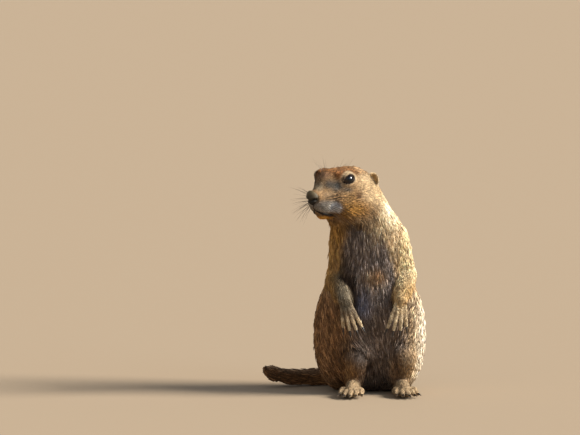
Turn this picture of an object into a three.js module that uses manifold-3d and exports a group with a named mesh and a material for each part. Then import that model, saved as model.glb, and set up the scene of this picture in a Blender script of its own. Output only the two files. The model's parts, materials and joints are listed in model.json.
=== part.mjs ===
// A prairie dog sitting up on its haunches, life size, with its head turned over its right shoulder.
// Lengths are millimetres. +Z is up, the chest faces -Y, and the animal's left side is towards +X.
// The body is drawn as one smooth form, a blend of rounded shapes laid along the skeleton, and is then
// parted with thin cuts into the pieces that a person would name.
import * as THREE from "three";
import { mergeVertices } from "three/addons/utils/BufferGeometryUtils.js";
import Module from "manifold-3d";

const wasm = await Module();
wasm.setup();

// Driving dimensions of a seated adult.
const SEATED_HEIGHT = 204;
const GAP = 0.3;
const HEAD_TURN_DEG = 43;
const HEAD_NOD_DEG = 1;
const EYE_MIDPOINT = [-32, -16, 0.95 * SEATED_HEIGHT];
const EYE_RADIUS = 6.3;
const EYE_RADII_OF_RIM = [7.6, 7.3, 7.3];
const EYE_OPENING = { half: 5.9, above: 4.3, below: 4 };
const EYE_PLACE = [0.5, 15.6, 0.2];
const EAR_PLACE = [-30.5, 21, -1.6];
const EAR_RADII = [3.2, 5.8, 6.6];
const NOSE_PLACE = [29.2, 0, -14.2];
const NOSE_RADII = [5, 5.6, 6.5];
const MOUTH_CORNER = [13.2, -29.4];
const FINGERS = 4;
const TOES = 5;
const FINGER_RADIUS = 2.3;
const TOE_RADIUS = 2.9;
const FORE_CLAW = 9.5;
const HIND_CLAW = 6;

// How coarsely each region of the surface is drawn: the side of its grid cells.
const CELL = { head: 3.6, neck: 7, trunk: 8.3, leg: 5.3, sole: 4.9, arm: 5, tail: 5.6, ear: 2.2, nose: 2.1 };

const COAT = new THREE.MeshStandardMaterial({ color: 0xb08a5c, roughness: 0.95, metalness: 0 });
const PALE_COAT = new THREE.MeshStandardMaterial({ color: 0xcdb48c, roughness: 0.95, metalness: 0 });
const BELLY_COAT = new THREE.MeshStandardMaterial({ color: 0x9a8468, roughness: 0.95, metalness: 0 });
const TAIL_COAT = new THREE.MeshStandardMaterial({ color: 0x54402e, roughness: 0.95, metalness: 0 });
const BARE_SKIN = new THREE.MeshStandardMaterial({ color: 0x4a4038, roughness: 0.6, metalness: 0 });
const EYE_GLOSS = new THREE.MeshStandardMaterial({ color: 0x0c0806, roughness: 0.08, metalness: 0 });

// Distance functions: each takes a point and gives a length, negative inside the form.

const lerp = THREE.MathUtils.lerp;

function ellipsoid([cx, cy, cz], [rx, ry, rz]) {
  return (x, y, z) => {
    const ux = (x - cx) / rx;
    const uy = (y - cy) / ry;
    const uz = (z - cz) / rz;
    const outer = Math.hypot(ux, uy, uz);
    const slope = Math.hypot(ux / rx, uy / ry, uz / rz);
    return slope < 1e-9 ? -Math.min(rx, ry, rz) : (outer * (outer - 1)) / slope;
  };
}

// A limb segment whose radius runs evenly from one end to the other.
function bone([ax, ay, az], [bx, by, bz], startRadius, endRadius) {
  const dx = bx - ax;
  const dy = by - ay;
  const dz = bz - az;
  const square = dx * dx + dy * dy + dz * dz;
  return (x, y, z) => {
    const along = ((x - ax) * dx + (y - ay) * dy + (z - az) * dz) / square;
    const t = Math.min(1, Math.max(0, along));
    const away = Math.hypot(x - ax - t * dx, y - ay - t * dy, z - az - t * dz);
    return away - lerp(startRadius, endRadius, t);
  };
}

// Joins forms with a fillet about as wide as the blend.
function blend(width, ...forms) {
  return (x, y, z) => {
    let d = forms[0](x, y, z);
    for (let i = 1; i < forms.length; i++) {
      const e = forms[i](x, y, z);
      const h = Math.max(width - Math.abs(d - e), 0) / width;
      d = Math.min(d, e) - (h * h * width) / 4;
    }
    return d;
  };
}

// Hollows one form out of another with a soft rim.
function hollow(width, form, tool) {
  return (x, y, z) => {
    const d = form(x, y, z);
    const e = -tool(x, y, z);
    const h = Math.max(width - Math.abs(d - e), 0) / width;
    return Math.max(d, e) + (h * h * width) / 4;
  };
}

const grown = (form, by) => (x, y, z) => form(x, y, z) - by;

function turned(form, matrix) {
  const m = matrix.clone().invert().elements;
  return (x, y, z) => form(
    m[0] * x + m[4] * y + m[8] * z + m[12],
    m[1] * x + m[5] * y + m[9] * z + m[13],
    m[2] * x + m[6] * y + m[10] * z + m[14],
  );
}

// The two members of a pair, as the same form seen in a mirror across the head's middle plane.
const paired = (make) => [make(1), make(-1)];

// Surfaces: a distance function drawn on a grid, with one vertex in each cell that the surface crosses.

function slopeOf(form, x, y, z) {
  const e = 0.05;
  return [
    (form(x + e, y, z) - form(x - e, y, z)) / (2 * e),
    (form(x, y + e, z) - form(x, y - e, z)) / (2 * e),
    (form(x, y, z + e) - form(x, y, z - e)) / (2 * e),
  ];
}

// Counts the groups that the marked corners of a cell fall into when they are joined along its edges.
function groupsOf(marked, edges) {
  const group = marked.map((m, c) => (m ? c : -1));
  for (let pass = 0; pass < 3; pass++) {
    for (const [a, b] of edges) {
      if (group[a] >= 0 && group[b] >= 0) group[a] = group[b] = Math.min(group[a], group[b]);
    }
  }
  return new Set(group.filter((g) => g >= 0)).size;
}

// Where the surface would pinch to a point or a line inside a cell, the slightest gap is filled.
function fillPinches(values, [nx, ny, nz], corners, edges, cell) {
  const simple = Array.from({ length: 256 }, (_, mask) => {
    const inside = corners.map((_, c) => Boolean(mask & (1 << c)));
    return groupsOf(inside, edges) <= 1 && groupsOf(inside.map((m) => !m), edges) <= 1;
  });
  for (let again = true; again;) {
    again = false;
    for (let k = 0; k < nz - 1; k++) {
      for (let j = 0; j < ny - 1; j++) {
        for (let i = 0; i < nx - 1; i++) {
          const places = corners.map(([a, b, c]) => ((k + c) * ny + j + b) * nx + i + a);
          const mask = places.reduce((m, place, c) => (values[place] < 0 ? m | (1 << c) : m), 0);
          if (simple[mask]) continue;
          const open = places.filter((place) => values[place] >= 0);
          values[open.reduce((best, place) => (values[place] < values[best] ? place : best))] = -0.05 * cell;
          again = true;
        }
      }
    }
  }
}

function drawSurface(form, low, high, cell, shift) {
  const count = low.map((v, i) => Math.ceil((high[i] - v) / cell) + 3);
  const start = low.map((v) => v - cell * (1 + shift));
  const [nx, ny, nz] = count;
  const values = new Float64Array(nx * ny * nz);
  const at = (i, j, k) => (k * ny + j) * nx + i;
  for (let k = 0; k < nz; k++) {
    for (let j = 0; j < ny; j++) {
      for (let i = 0; i < nx; i++) {
        const edge = i === 0 || j === 0 || k === 0 || i === nx - 1 || j === ny - 1 || k === nz - 1;
        const d = form(start[0] + i * cell, start[1] + j * cell, start[2] + k * cell);
        values[at(i, j, k)] = edge ? Math.max(d, 0.5 * cell) : d;
      }
    }
  }
  const corners = [0, 1, 2, 3, 4, 5, 6, 7].map((c) => [c & 1, (c >> 1) & 1, (c >> 2) & 1]);
  const edges = [];
  for (const c of [0, 1, 2, 3, 4, 5, 6, 7]) {
    for (const bit of [1, 2, 4]) {
      if (!(c & bit)) edges.push([c, c | bit]);
    }
  }
  fillPinches(values, count, corners, edges, cell);
  const vertexOf = new Int32Array(nx * ny * nz).fill(-1);
  const points = [];
  for (let k = 0; k < nz - 1; k++) {
    for (let j = 0; j < ny - 1; j++) {
      for (let i = 0; i < nx - 1; i++) {
        const d = corners.map(([a, b, c]) => values[at(i + a, j + b, k + c)]);
        let crossings = 0;
        const sum = [0, 0, 0];
        for (const [a, b] of edges) {
          if ((d[a] < 0) === (d[b] < 0)) continue;
          const t = d[a] / (d[a] - d[b]);
          crossings += 1;
          for (const axis of [0, 1, 2]) sum[axis] += lerp(corners[a][axis], corners[b][axis], t);
        }
        if (!crossings) continue;
        let p = [i, j, k].map((v, axis) => start[axis] + (v + sum[axis] / crossings) * cell);
        for (let pass = 0; pass < 2; pass++) {
          const away = form(...p);
          const g = slopeOf(form, ...p);
          const square = Math.max(g[0] * g[0] + g[1] * g[1] + g[2] * g[2], 0.2);
          const step = Math.max(-0.4 * cell, Math.min(0.4 * cell, away / square));
          p = p.map((v, axis) => v - step * g[axis]);
        }
        vertexOf[at(i, j, k)] = points.length / 3;
        points.push(...p);
      }
    }
  }
  const index = [];
  const far = (a, b) => Math.hypot(...[0, 1, 2].map((n) => points[3 * a + n] - points[3 * b + n]));
  const quad = (a, b, c, d, flip) => {
    const loop = flip ? [a, d, c, b] : [a, b, c, d];
    const [p, q, r, s] = loop;
    if (far(p, r) <= far(q, s)) index.push(p, q, r, p, r, s);
    else index.push(q, r, s, q, s, p);
  };
  for (let k = 0; k < nz - 1; k++) {
    for (let j = 0; j < ny - 1; j++) {
      for (let i = 0; i < nx - 1; i++) {
        const here = values[at(i, j, k)] < 0;
        const v = (a, b, c) => vertexOf[at(i - a, j - b, k - c)];
        const changes = (a, b, c) => here !== values[at(i + a, j + b, k + c)] < 0;
        if (j && k && changes(1, 0, 0)) quad(v(0, 0, 0), v(0, 1, 0), v(0, 1, 1), v(0, 0, 1), !here);
        if (i && k && changes(0, 1, 0)) quad(v(0, 0, 0), v(0, 0, 1), v(1, 0, 1), v(1, 0, 0), !here);
        if (i && j && changes(0, 0, 1)) quad(v(0, 0, 0), v(1, 0, 0), v(1, 1, 0), v(0, 1, 0), !here);
      }
    }
  }
  return { points, index };
}

// True where every edge lies between two faces and the faces round each vertex make one fan.
function isClean({ points, index }) {
  const edgeUses = new Map();
  const fans = new Map();
  for (let f = 0; f < index.length; f += 3) {
    for (const n of [0, 1, 2]) {
      const a = index[f + n];
      const b = index[f + ((n + 1) % 3)];
      const c = index[f + ((n + 2) % 3)];
      const key = Math.min(a, b) * (points.length / 3) + Math.max(a, b);
      edgeUses.set(key, (edgeUses.get(key) ?? 0) + 1);
      if (!fans.has(a)) fans.set(a, new Map());
      fans.get(a).set(b, c);
    }
  }
  if ([...edgeUses.values()].some((n) => n !== 2)) return false;
  for (const fan of fans.values()) {
    const first = fan.keys().next().value;
    let steps = 1;
    for (let next = fan.get(first); next !== first && steps <= fan.size; next = fan.get(next)) steps += 1;
    if (steps !== fan.size) return false;
  }
  return true;
}

function largest(solid) {
  const pieces = solid.decompose();
  return pieces.reduce((best, piece) => (piece.volume() > best.volume() ? piece : best));
}

const SHIFTS = [0, 0.37, 0.61, 0.23, 0.79, 0.49, 0.11, 0.91];

// The closed solid of a form inside a box, kept to its largest piece.
function carve(form, low, high, cell) {
  for (const shift of SHIFTS) {
    const drawn = drawSurface(form, low, high, cell, shift);
    if (isClean(drawn)) return largest(solidOf(geometryOf(drawn.points, drawn.index)));
  }
  throw new Error("the surface pinches on every grid");
}

function geometryOf(points, index) {
  const geometry = new THREE.BufferGeometry();
  geometry.setAttribute("position", new THREE.Float32BufferAttribute(points, 3));
  return geometry.setIndex(index);
}

function solidOf(geometry) {
  const bare = geometry.clone();
  bare.deleteAttribute("normal");
  bare.deleteAttribute("uv");
  const merged = mergeVertices(bare, 1e-4);
  return new wasm.Manifold(new wasm.Mesh({
    numProp: 3,
    vertProperties: merged.attributes.position.array,
    triVerts: new Uint32Array(merged.index.array),
  }));
}

// The same solid with its skin moved out by a small distance.
function swollen(solid, by) {
  const drawn = solid.getMesh();
  const geometry = geometryOf(Array.from(drawn.vertProperties), Array.from(drawn.triVerts));
  geometry.computeVertexNormals();
  const place = geometry.attributes.position;
  const normal = geometry.attributes.normal;
  for (let i = 0; i < place.count; i++) {
    place.setXYZ(i, place.getX(i) + by * normal.getX(i), place.getY(i) + by * normal.getY(i),
      place.getZ(i) + by * normal.getZ(i));
  }
  return solidOf(geometry);
}

// A closed tapering tube of round rings along a line of points, pointed or blunt by its end radii.
function taper(points, radii, sides = 7) {
  const line = points.map((p) => new THREE.Vector3(...p));
  const position = [];
  const index = [];
  let side = new THREE.Vector3(0.31, 0.52, 0.8);
  line.forEach((p, i) => {
    const ahead = line[Math.min(i + 1, line.length - 1)];
    const behind = line[Math.max(i - 1, 0)];
    const way = ahead.clone().sub(behind).normalize();
    side = side.clone().addScaledVector(way, -side.dot(way)).normalize();
    const other = way.clone().cross(side);
    for (let s = 0; s < sides; s++) {
      const angle = (2 * Math.PI * s) / sides;
      const spoke = side.clone().multiplyScalar(Math.cos(angle)).addScaledVector(other, Math.sin(angle));
      position.push(...p.clone().addScaledVector(spoke, radii[i]).toArray());
    }
  });
  const rings = line.length;
  for (let i = 0; i < rings - 1; i++) {
    for (let s = 0; s < sides; s++) {
      const a = i * sides + s;
      const b = i * sides + ((s + 1) % sides);
      index.push(a, b, b + sides, a, b + sides, a + sides);
    }
  }
  const first = position.length / 3;
  position.push(...line[0].toArray(), ...line[rings - 1].toArray());
  for (let s = 0; s < sides; s++) {
    const t = (s + 1) % sides;
    index.push(first, t, s, first + 1, (rings - 1) * sides + s, (rings - 1) * sides + t);
  }
  return solidOf(geometryOf(position, index));
}

// The half of a solid on the side of a plane that its normal points to, less half the gap.
function beyond(solid, point, normal) {
  const n = new THREE.Vector3(...normal).normalize();
  return largest(solid.trimByPlane(n.toArray(), n.dot(new THREE.Vector3(...point)) + GAP / 2));
}

const short = (solid, point, normal) => beyond(solid, point, normal.map((v) => -v));

function join(...solids) {
  return largest(solids.reduce((all, solid) => all.add(solid)));
}

const cut = (solid, ...tools) => largest(tools.reduce((rest, tool) => rest.subtract(tool), solid));

const root = new THREE.Group();

// Adds a solid as a mesh whose own origin is the place it turns about.
function addNode(name, solid, material, pivot = [0, 0, 0]) {
  const drawn = solid.getMesh();
  const geometry = geometryOf(Array.from(drawn.vertProperties), Array.from(drawn.triVerts));
  geometry.translate(...pivot.map((v) => -v));
  geometry.computeVertexNormals();
  const mesh = new THREE.Mesh(geometry, material);
  mesh.name = name;
  mesh.position.set(...pivot);
  root.add(mesh);
}

const mix = (a, b, t) => a.map((v, i) => lerp(v, b[i], t));
const plus = (a, b, times = 1) => a.map((v, i) => v + times * b[i]);

// The head's own frame: x runs to the nose, y to the animal's left, z up, from the midpoint of the eyes.
const headPlace = new THREE.Matrix4()
  .makeRotationZ(-THREE.MathUtils.degToRad(90 + HEAD_TURN_DEG))
  .multiply(new THREE.Matrix4().makeRotationY(THREE.MathUtils.degToRad(HEAD_NOD_DEG)))
  .setPosition(...EYE_MIDPOINT);
const onHead = (p) => new THREE.Vector3(...p).applyMatrix4(headPlace).toArray();

// Skull, muzzle and cheeks, in the head's frame.
function skullForm() {
  const cranium = ellipsoid([-17, 0, -10.6], [26, 23.8, 20.6]);
  const forehead = ellipsoid([1, 0, -4.8], [20, 15.8, 14.9]);
  const temples = paired((side) => ellipsoid([-9, side * 11.5, -7], [15, 11, 12.5]));
  const bridge = bone([5, 0, -9], [26.5, 0, -13.4], 11.5, 4.9);
  const muzzle = bone([6, 0, -16.5], [23.2, 0, -18.2], 14, 8.2);
  const pads = paired((side) => ellipsoid([18.4, side * 5.6, -20.4], [9, 6.2, 6.8]));
  const cheeks = paired((side) => ellipsoid([-6, side * 13.4, -21], [19, 12.2, 14.8]));
  const brows = paired((side) => bone([-6, side * 16, 5], [7, side * 12.4, 4.6], 4, 3.4));
  const jaw = bone([-6, 0, -27], [15, 0, -30.4], 10.5, 5.2);
  const whole = blend(6, cranium, forehead, bridge, muzzle, ...cheeks, ...temples, jaw);
  return blend(3.2, whole, ...pads, ...brows);
}

function eyePlace(side) {
  return [EYE_PLACE[0], side * EYE_PLACE[1], EYE_PLACE[2]];
}

// The skull with the rounded rims that hold the eyes.
function headLocal() {
  const orbits = paired((side) => ellipsoid(eyePlace(side), EYE_RADII_OF_RIM));
  return blend(2.6, skullForm(), ...orbits);
}

// Which way an eye looks, in the head's frame.
const eyeAxis = (side) => new THREE.Vector3(0.26, side * 0.93, 0.16).normalize();

// The trunk from the haunches to the shoulders and neck, with the hind legs down to the feet.
const HIP_HEIGHT = 50;
const LEGS = {
  right: { side: -1, knee: [-13.5, -26, 33], ankle: [-14.5, -19, 9], ball: [-17, -46, 5.2], splay: -6 },
  left: { side: 1, knee: [30, -25, 33], ankle: [27.5, -17, 9], ball: [31, -43, 5.2], splay: 12 },
};
const ARMS = {
  right: {
    side: -1, shoulder: [-23, 4, 133], elbow: [-30.2, 0, 102.5], wrist: [-22.4, -36.5, 84], lean: 0.27,
    thick: [13.6, 9.2],
  },
  left: {
    side: 1, shoulder: [22, 5, 135], elbow: [32.4, 1, 105.5], wrist: [27.2, -36, 84.5], lean: -0.14,
    thick: [14.2, 9.9],
  },
};
const TAIL_LINE = [[-8, 40, 15], [-27, 50, 9.5], [-50, 48, 7.6], [-72, 40, 8.6], [-88, 33, 12.8], [-97, 29, 18]];
const TAIL_RADII = [12, 8.8, 7.6, 7.2, 6.2, 3.6];

const headForm = turned(headLocal(), headPlace);
const neckForm = blend(8,
  bone([-1, 7, 144], [-11, 2, 164], 27.5, 26.5),
  bone([-11, 3, 164], [-19, 0, 178], 25, 22));
const haunchForms = paired((side) => ellipsoid([side * 29.5, 9, HIP_HEIGHT], [21.8, 35, 50]));
const trunkForm = blend(14,
  ellipsoid([0, 15, 36], [38, 37, 40]),
  ellipsoid([0, 3, 70], [40, 35.5, 46]),
  bone([0, 17, 70], [-1, 11, 128], 32, 27),
  ellipsoid([-1, 4, 110], [29, 28.5, 42]),
  ellipsoid([-1, 6, 137], [30, 23.5, 24]),
  neckForm,
  ...haunchForms);
const shankForm = (leg) => bone(leg.knee, leg.ankle, 0.3 * leg.knee[2], 7.2);
const legForms = Object.values(LEGS).map((leg) => blend(9,
  bone([leg.side * 25, 14, 44], leg.knee, 20, 10.2),
  shankForm(leg)));
const upperArmForm = (arm) => bone(arm.shoulder, arm.elbow, ...arm.thick);
const restForm = blend(9, blend(9, trunkForm, ...legForms), headForm);
const bodyForm = blend(6.5, restForm, ...Object.values(ARMS).map(upperArmForm));

const across = (v) => [v[1], -v[0], 0];

// Toes and fingers: a loop over the digits, fanned about the middle one.
function footDigits(leg) {
  const forward = [Math.sin(THREE.MathUtils.degToRad(leg.splay)), -Math.cos(THREE.MathUtils.degToRad(leg.splay)), 0];
  const sideways = across(forward);
  return Array.from({ length: TOES }, (_, i) => {
    const spread = i - (TOES - 1) / 2;
    const length = 14.5 - 1.1 * spread * spread;
    const base = plus(plus(leg.ball, sideways, 3.9 * spread), forward, 2 - 0.9 * spread * spread);
    const way = plus(forward, sideways, 0.1 * spread);
    const middle = plus(plus(base, way, 0.55 * length), [0, 0, 0.9]);
    const tip = plus(plus(base, way, length), [0, 0, -2.0]);
    return { base, middle, tip, way };
  });
}

function handDigits(arm) {
  const down = [Math.sin(arm.lean), -0.1, -Math.cos(arm.lean)];
  const sideways = [Math.cos(arm.lean) * -arm.side, -0.08, Math.sin(arm.lean) * -arm.side];
  return Array.from({ length: FINGERS }, (_, i) => {
    const spread = i - (FINGERS - 1) / 2;
    const length = 17.4 - 1.2 * (spread - 0.5) * (spread - 0.5);
    const root = plus(plus(arm.wrist, sideways, 2.3 * spread), down, 0.5);
    const knuckle = plus(plus(plus(arm.wrist, down, 8.6), sideways, 4.1 * spread), [0, -2 + 0.5 * spread * spread, 0]);
    const way = plus(down, sideways, 0.1 * spread);
    const middle = plus(plus(knuckle, way, 0.5 * length), [0, -1.3, 0]);
    const tip = plus(plus(knuckle, way, length), [0, 1.4, 0]);
    return { root, knuckle, middle, tip, way };
  });
}

function soleForm(leg) {
  const heel = plus(leg.ankle, [0, 4, -3.6]);
  const digits = footDigits(leg);
  return blend(4,
    bone(heel, leg.ball, 6.6, 6.2),
    bone(leg.ankle, leg.ball, 7.2, 5.2),
    bone(plus(digits[0].base, [0, 3, 0]), plus(digits[TOES - 1].base, [0, 3, 0]), 4.4, 4.4));
}

function forearmForm(arm) {
  const down = handDigits(arm)[2].way;
  return blend(6,
    bone(arm.elbow, arm.wrist, arm.thick[1] - 0.5, 5.5),
    bone(mix(arm.elbow, arm.wrist, 0.1), mix(arm.elbow, arm.wrist, 0.6), arm.thick[1] - 0.3, 7.8),
    bone(arm.wrist, plus(arm.wrist, down, 6), 5.2, 4.4));
}

// A toe or finger: a round rod bent at its joints, with its own thickness at each, and a rounded end.
function digit(points, radii) {
  const curve = new THREE.CatmullRomCurve3(points.map((p) => new THREE.Vector3(...p)), false, "centripetal");
  const line = points.flatMap((p, i) => {
    if (i === points.length - 1) return [p];
    const at = (i + 0.5) / (points.length - 1);
    return [p, curve.getPoint(at).toArray()];
  });
  const thickness = line.map((_, i) => {
    const left = radii[Math.floor(i / 2)];
    const right = radii[Math.ceil(i / 2)];
    return i % 2 ? 0.47 * (left + right) : left;
  });
  return taper(line, thickness, 6);
}

// A claw is a short horn that leaves the tip of its digit and bends down.
function claw(tip, way, droop, length, radius) {
  const steps = [-0.45, 0.1, 0.55, 1];
  const line = steps.map((t) => plus(plus(tip, way, t * length), droop, Math.max(0, t) ** 2 * length * 0.42));
  return taper(line, [0.7, 1, 0.66, 0.16].map((r) => r * radius), 5);
}

// Whole forms, and the planes and shapes that part them.
const BOX_LOW = [-60, -42, -6];
const BOX_HIGH = [60, 64, 172];
const NECK_TOP = { point: [-18, -4, 165], normal: [-0.28, -0.42, 0.86] };
const NECK_BASE = { point: [-3, 4, 146], normal: [-0.3, -0.06, 0.95] };
const CHEST_BASE = { point: [0, 0, 92], normal: [0, -0.12, 0.99] };
const thighPlane = (leg) => ({ point: [leg.side * 25.5, 0, 40], normal: [leg.side * 0.93, -0.28, -0.2] });
const kneeTop = (leg) => ({ point: plus(leg.knee, [0, 0, 9]), normal: [0, 0.2, 0.98] });
const elbowPlane = (arm) => ({ point: plus(arm.elbow, [0, 1, 0]), normal: [0, -0.72, -0.69] });
const wristPlane = (arm) => ({ point: plus(arm.wrist, [0, 0.5, 0.5]), normal: [arm.side * -0.2, -0.5, -0.84] });

const ground = (solid) => largest(solid.trimByPlane([0, 0, 1], 0));
const side = (solid, plane) => beyond(solid, plane.point, plane.normal);
const otherSide = (solid, plane) => short(solid, plane.point, plane.normal);
const boxOf = (points, margin) => [
  points[0].map((_, i) => Math.min(...points.map((p) => p[i])) - margin),
  points[0].map((_, i) => Math.max(...points.map((p) => p[i])) + margin),
];

// The block that cuts a limb out of the body: a closed rod of flats round the limb, with a margin.
const ARM_MARGIN = 3.2;
const SHANK_MARGIN = 2.8;
function limbBlock([start, startRadius], [end, endRadius], margin) {
  const way = new THREE.Vector3(...end).sub(new THREE.Vector3(...start)).normalize().toArray();
  const first = startRadius + margin;
  const last = endRadius + margin;
  return taper(
    [plus(start, way, -first), plus(start, way, -0.6 * first), start, end, plus(end, way, 0.6 * last), plus(end, way, last)],
    [0.35 * first, 0.85 * first, 1.02 * first, 1.02 * last, 0.85 * last, 0.35 * last], 12);
}
const armBlock = (arm, margin) => limbBlock([arm.shoulder, arm.thick[0]], [arm.elbow, arm.thick[1]], margin);
const shankBlock = (leg, margin) => limbBlock([leg.knee, 0.3 * leg.knee[2]], [leg.ankle, 7.2], margin);
const armBlocks = Object.values(ARMS).map((arm) => armBlock(arm, ARM_MARGIN));
const shankBlocks = Object.values(LEGS).map((leg) => otherSide(shankBlock(leg, SHANK_MARGIN), kneeTop(leg)));
const armHollows = Object.values(ARMS).map((arm) => armBlock(arm, ARM_MARGIN + GAP));
const shankHollows = Object.values(LEGS).map((leg) => otherSide(shankBlock(leg, SHANK_MARGIN + GAP), {
  point: plus(kneeTop(leg).point, kneeTop(leg).normal, GAP), normal: kneeTop(leg).normal,
}));

const whole = carve(bodyForm, BOX_LOW, BOX_HIGH, CELL.trunk);
const wholeHull = swollen(whole, GAP);
const trunk = cut(whole, ...armHollows, ...shankHollows);
const trunkHull = cut(wholeHull, ...armBlocks);
const besideBody = (form) => hollow(0.4, form, grown(restForm, GAP + 0.2));

function addLegs() {
  let rest = trunk;
  Object.entries(LEGS).forEach(([name, leg], i) => {
    const plane = thighPlane(leg);
    const outer = side(rest, plane);
    rest = otherSide(rest, plane);
    addNode(`thigh_${name}`, ground(outer), COAT, [leg.side * 24, 14, 50]);
    const shankBox = boxOf([leg.knee, leg.ankle], 16);
    const shankSkin = carve(bodyForm, ...shankBox, CELL.leg);
    const shank = largest(shankSkin.intersect(shankBlocks[i]));
    const sole = cut(ground(carve(besideBody(soleForm(leg)), ...boxOf([leg.ankle, leg.ball], 18), CELL.sole)), wholeHull, swollen(shankSkin, GAP));
    const digits = footDigits(leg);
    const toes = digits.map((d) => digit([plus(d.base, [0, 4, -0.5]), mix(d.base, d.middle, 0.7), d.tip],
      [1.15, 1.1, 0.62].map((r) => r * TOE_RADIUS)));
    const claws = digits.map((d) => claw(plus(d.tip, [0, 0, 0.6]), d.way, [0, 0, -0.36], HIND_CLAW, 1.15));
    addNode(`shank_${name}`, ground(shank), PALE_COAT, leg.knee);
    addNode(`foot_${name}`, ground(join(sole, ...toes, ...claws)), PALE_COAT, leg.ankle);
  });
  return ground(rest);
}

function addArms() {
  Object.entries(ARMS).forEach(([name, arm], i) => {
    const upperBox = boxOf([arm.shoulder, arm.elbow], arm.thick[0] + 6);
    const upper = largest(carve(bodyForm, ...upperBox, CELL.arm).intersect(armBlocks[i]));
    const lower = cut(carve(forearmForm(arm), ...boxOf([arm.elbow, arm.wrist], 16), CELL.arm), trunkHull);
    const forearm = join(side(lower, elbowPlane(arm)), side(upper, elbowPlane(arm)));
    const fingers = handDigits(arm).map((d) => digit([d.root, d.knuckle, d.middle, d.tip],
      [1.85, 1.5, 1.12, 0.72].map((r) => r * FINGER_RADIUS)));
    const thumb = digit([plus(arm.wrist, [arm.side * -2, 0, -2]), plus(arm.wrist, [arm.side * -4.6, 1, -6]),
      plus(arm.wrist, [arm.side * -5.8, 1.4, -10])], [2, 1.8, 0.9]);
    const claws = handDigits(arm).map((d) => claw(d.tip, d.way, [0, 0.9, 0], FORE_CLAW, 1));
    const hand = join(side(lower, wristPlane(arm)), ...fingers.map((f) => side(f, wristPlane(arm))), thumb, ...claws);
    addNode(`upper_arm_${name}`, otherSide(upper, elbowPlane(arm)), COAT, arm.shoulder);
    addNode(`forearm_${name}`, otherSide(forearm, wristPlane(arm)), PALE_COAT, arm.elbow);
    addNode(`hand_${name}`, cut(hand, trunkHull), PALE_COAT, arm.wrist);
  });
}

// Head, jaw, nose, eyes and ears.
// Points round the opening of an eye, on a ball a little larger than the eye. The front corner is drawn out
// towards the nose.
function openingLine(side, from, to, steps, size, radius) {
  const axis = eyeAxis(side);
  const along = new THREE.Vector3(1, 0, -0.45);
  along.addScaledVector(axis, -along.dot(axis)).normalize();
  const up = along.clone().cross(axis).multiplyScalar(side).normalize();
  return Array.from({ length: steps + 1 }, (_, i) => {
    const angle = THREE.MathUtils.degToRad(lerp(from, to, i / steps));
    const corner = 1 + 0.1 * Math.max(0, Math.cos(angle)) ** 4;
    const wide = Math.cos(angle) * EYE_OPENING.half * size * corner;
    const tall = Math.sin(angle) * (Math.sin(angle) > 0 ? EYE_OPENING.above : EYE_OPENING.below) * size;
    const reach = Math.sqrt(Math.max(1, radius * radius - wide * wide - tall * tall));
    return new THREE.Vector3(...eyePlace(side))
      .addScaledVector(along, wide)
      .addScaledVector(up, tall)
      .addScaledVector(axis, reach);
  });
}

// The solid that opens the lids: a short well with the outline of the eye's opening.
function eyeOpening(side) {
  const steps = 12;
  const axis = eyeAxis(side);
  const place = new THREE.Vector3(...eyePlace(side));
  const rim = openingLine(side, 0, 360, steps, 1, EYE_RADIUS).slice(0, steps);
  const flat = rim.map((p) => p.addScaledVector(axis, -p.clone().sub(place).dot(axis)));
  const position = [];
  for (const height of [2, 16]) for (const p of flat) position.push(...p.clone().addScaledVector(axis, height).toArray());
  position.push(...place.clone().addScaledVector(axis, 2).toArray(), ...place.clone().addScaledVector(axis, 16).toArray());
  const index = [];
  for (let i = 0; i < steps; i++) {
    const j = (i + 1) % steps;
    index.push(i, j, j + steps, i, j + steps, i + steps, 2 * steps, j, i, 2 * steps + 1, i + steps, j + steps);
  }
  return solidOf(geometryOf(position, side > 0 ? index.reverse() : index));
}

function lids(side) {
  const radii = [0.6, 0.95, 1.15, 1.2, 1.15, 0.95, 0.6];
  const line = (from, to) => openingLine(side, from, to, radii.length - 1, 1.1, EYE_RADIUS + 0.75).map((p) => p.toArray());
  return [taper(line(-8, 188), radii.map((r) => r * 1.08), 5), taper(line(188, 352), radii, 5)];
}

// Points on the head's surface at one height, from the right mouth corner round the front to the left.
function mouthLine(form, height) {
  const steps = 12;
  return Array.from({ length: steps + 1 }, (_, i) => {
    const swing = THREE.MathUtils.degToRad(lerp(-62, 62, i / steps));
    const way = [Math.cos(swing), Math.sin(swing), 0];
    const start = [MOUTH_CORNER[0] - 4, 0, height + 0.06 * Math.abs(lerp(-62, 62, i / steps)) * 0.35];
    let reach = 4;
    while (form(...plus(start, way, reach)) < 0) reach += 0.25;
    return plus(start, way, reach - 0.35);
  });
}

function ear(side) {
  const tilt = new THREE.Matrix4()
    .makeRotationZ(side * THREE.MathUtils.degToRad(62))
    .multiply(new THREE.Matrix4().makeRotationX(side * THREE.MathUtils.degToRad(-14)))
    .setPosition(EAR_PLACE[0], side * EAR_PLACE[1], EAR_PLACE[2]);
  const shell = ellipsoid([0, 0, 0], EAR_RADII);
  const cup = ellipsoid([3.1, 0, 0.4], [4.2, 4.6, 5.9]);
  return turned(hollow(0.8, shell, cup), tilt);
}

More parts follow.
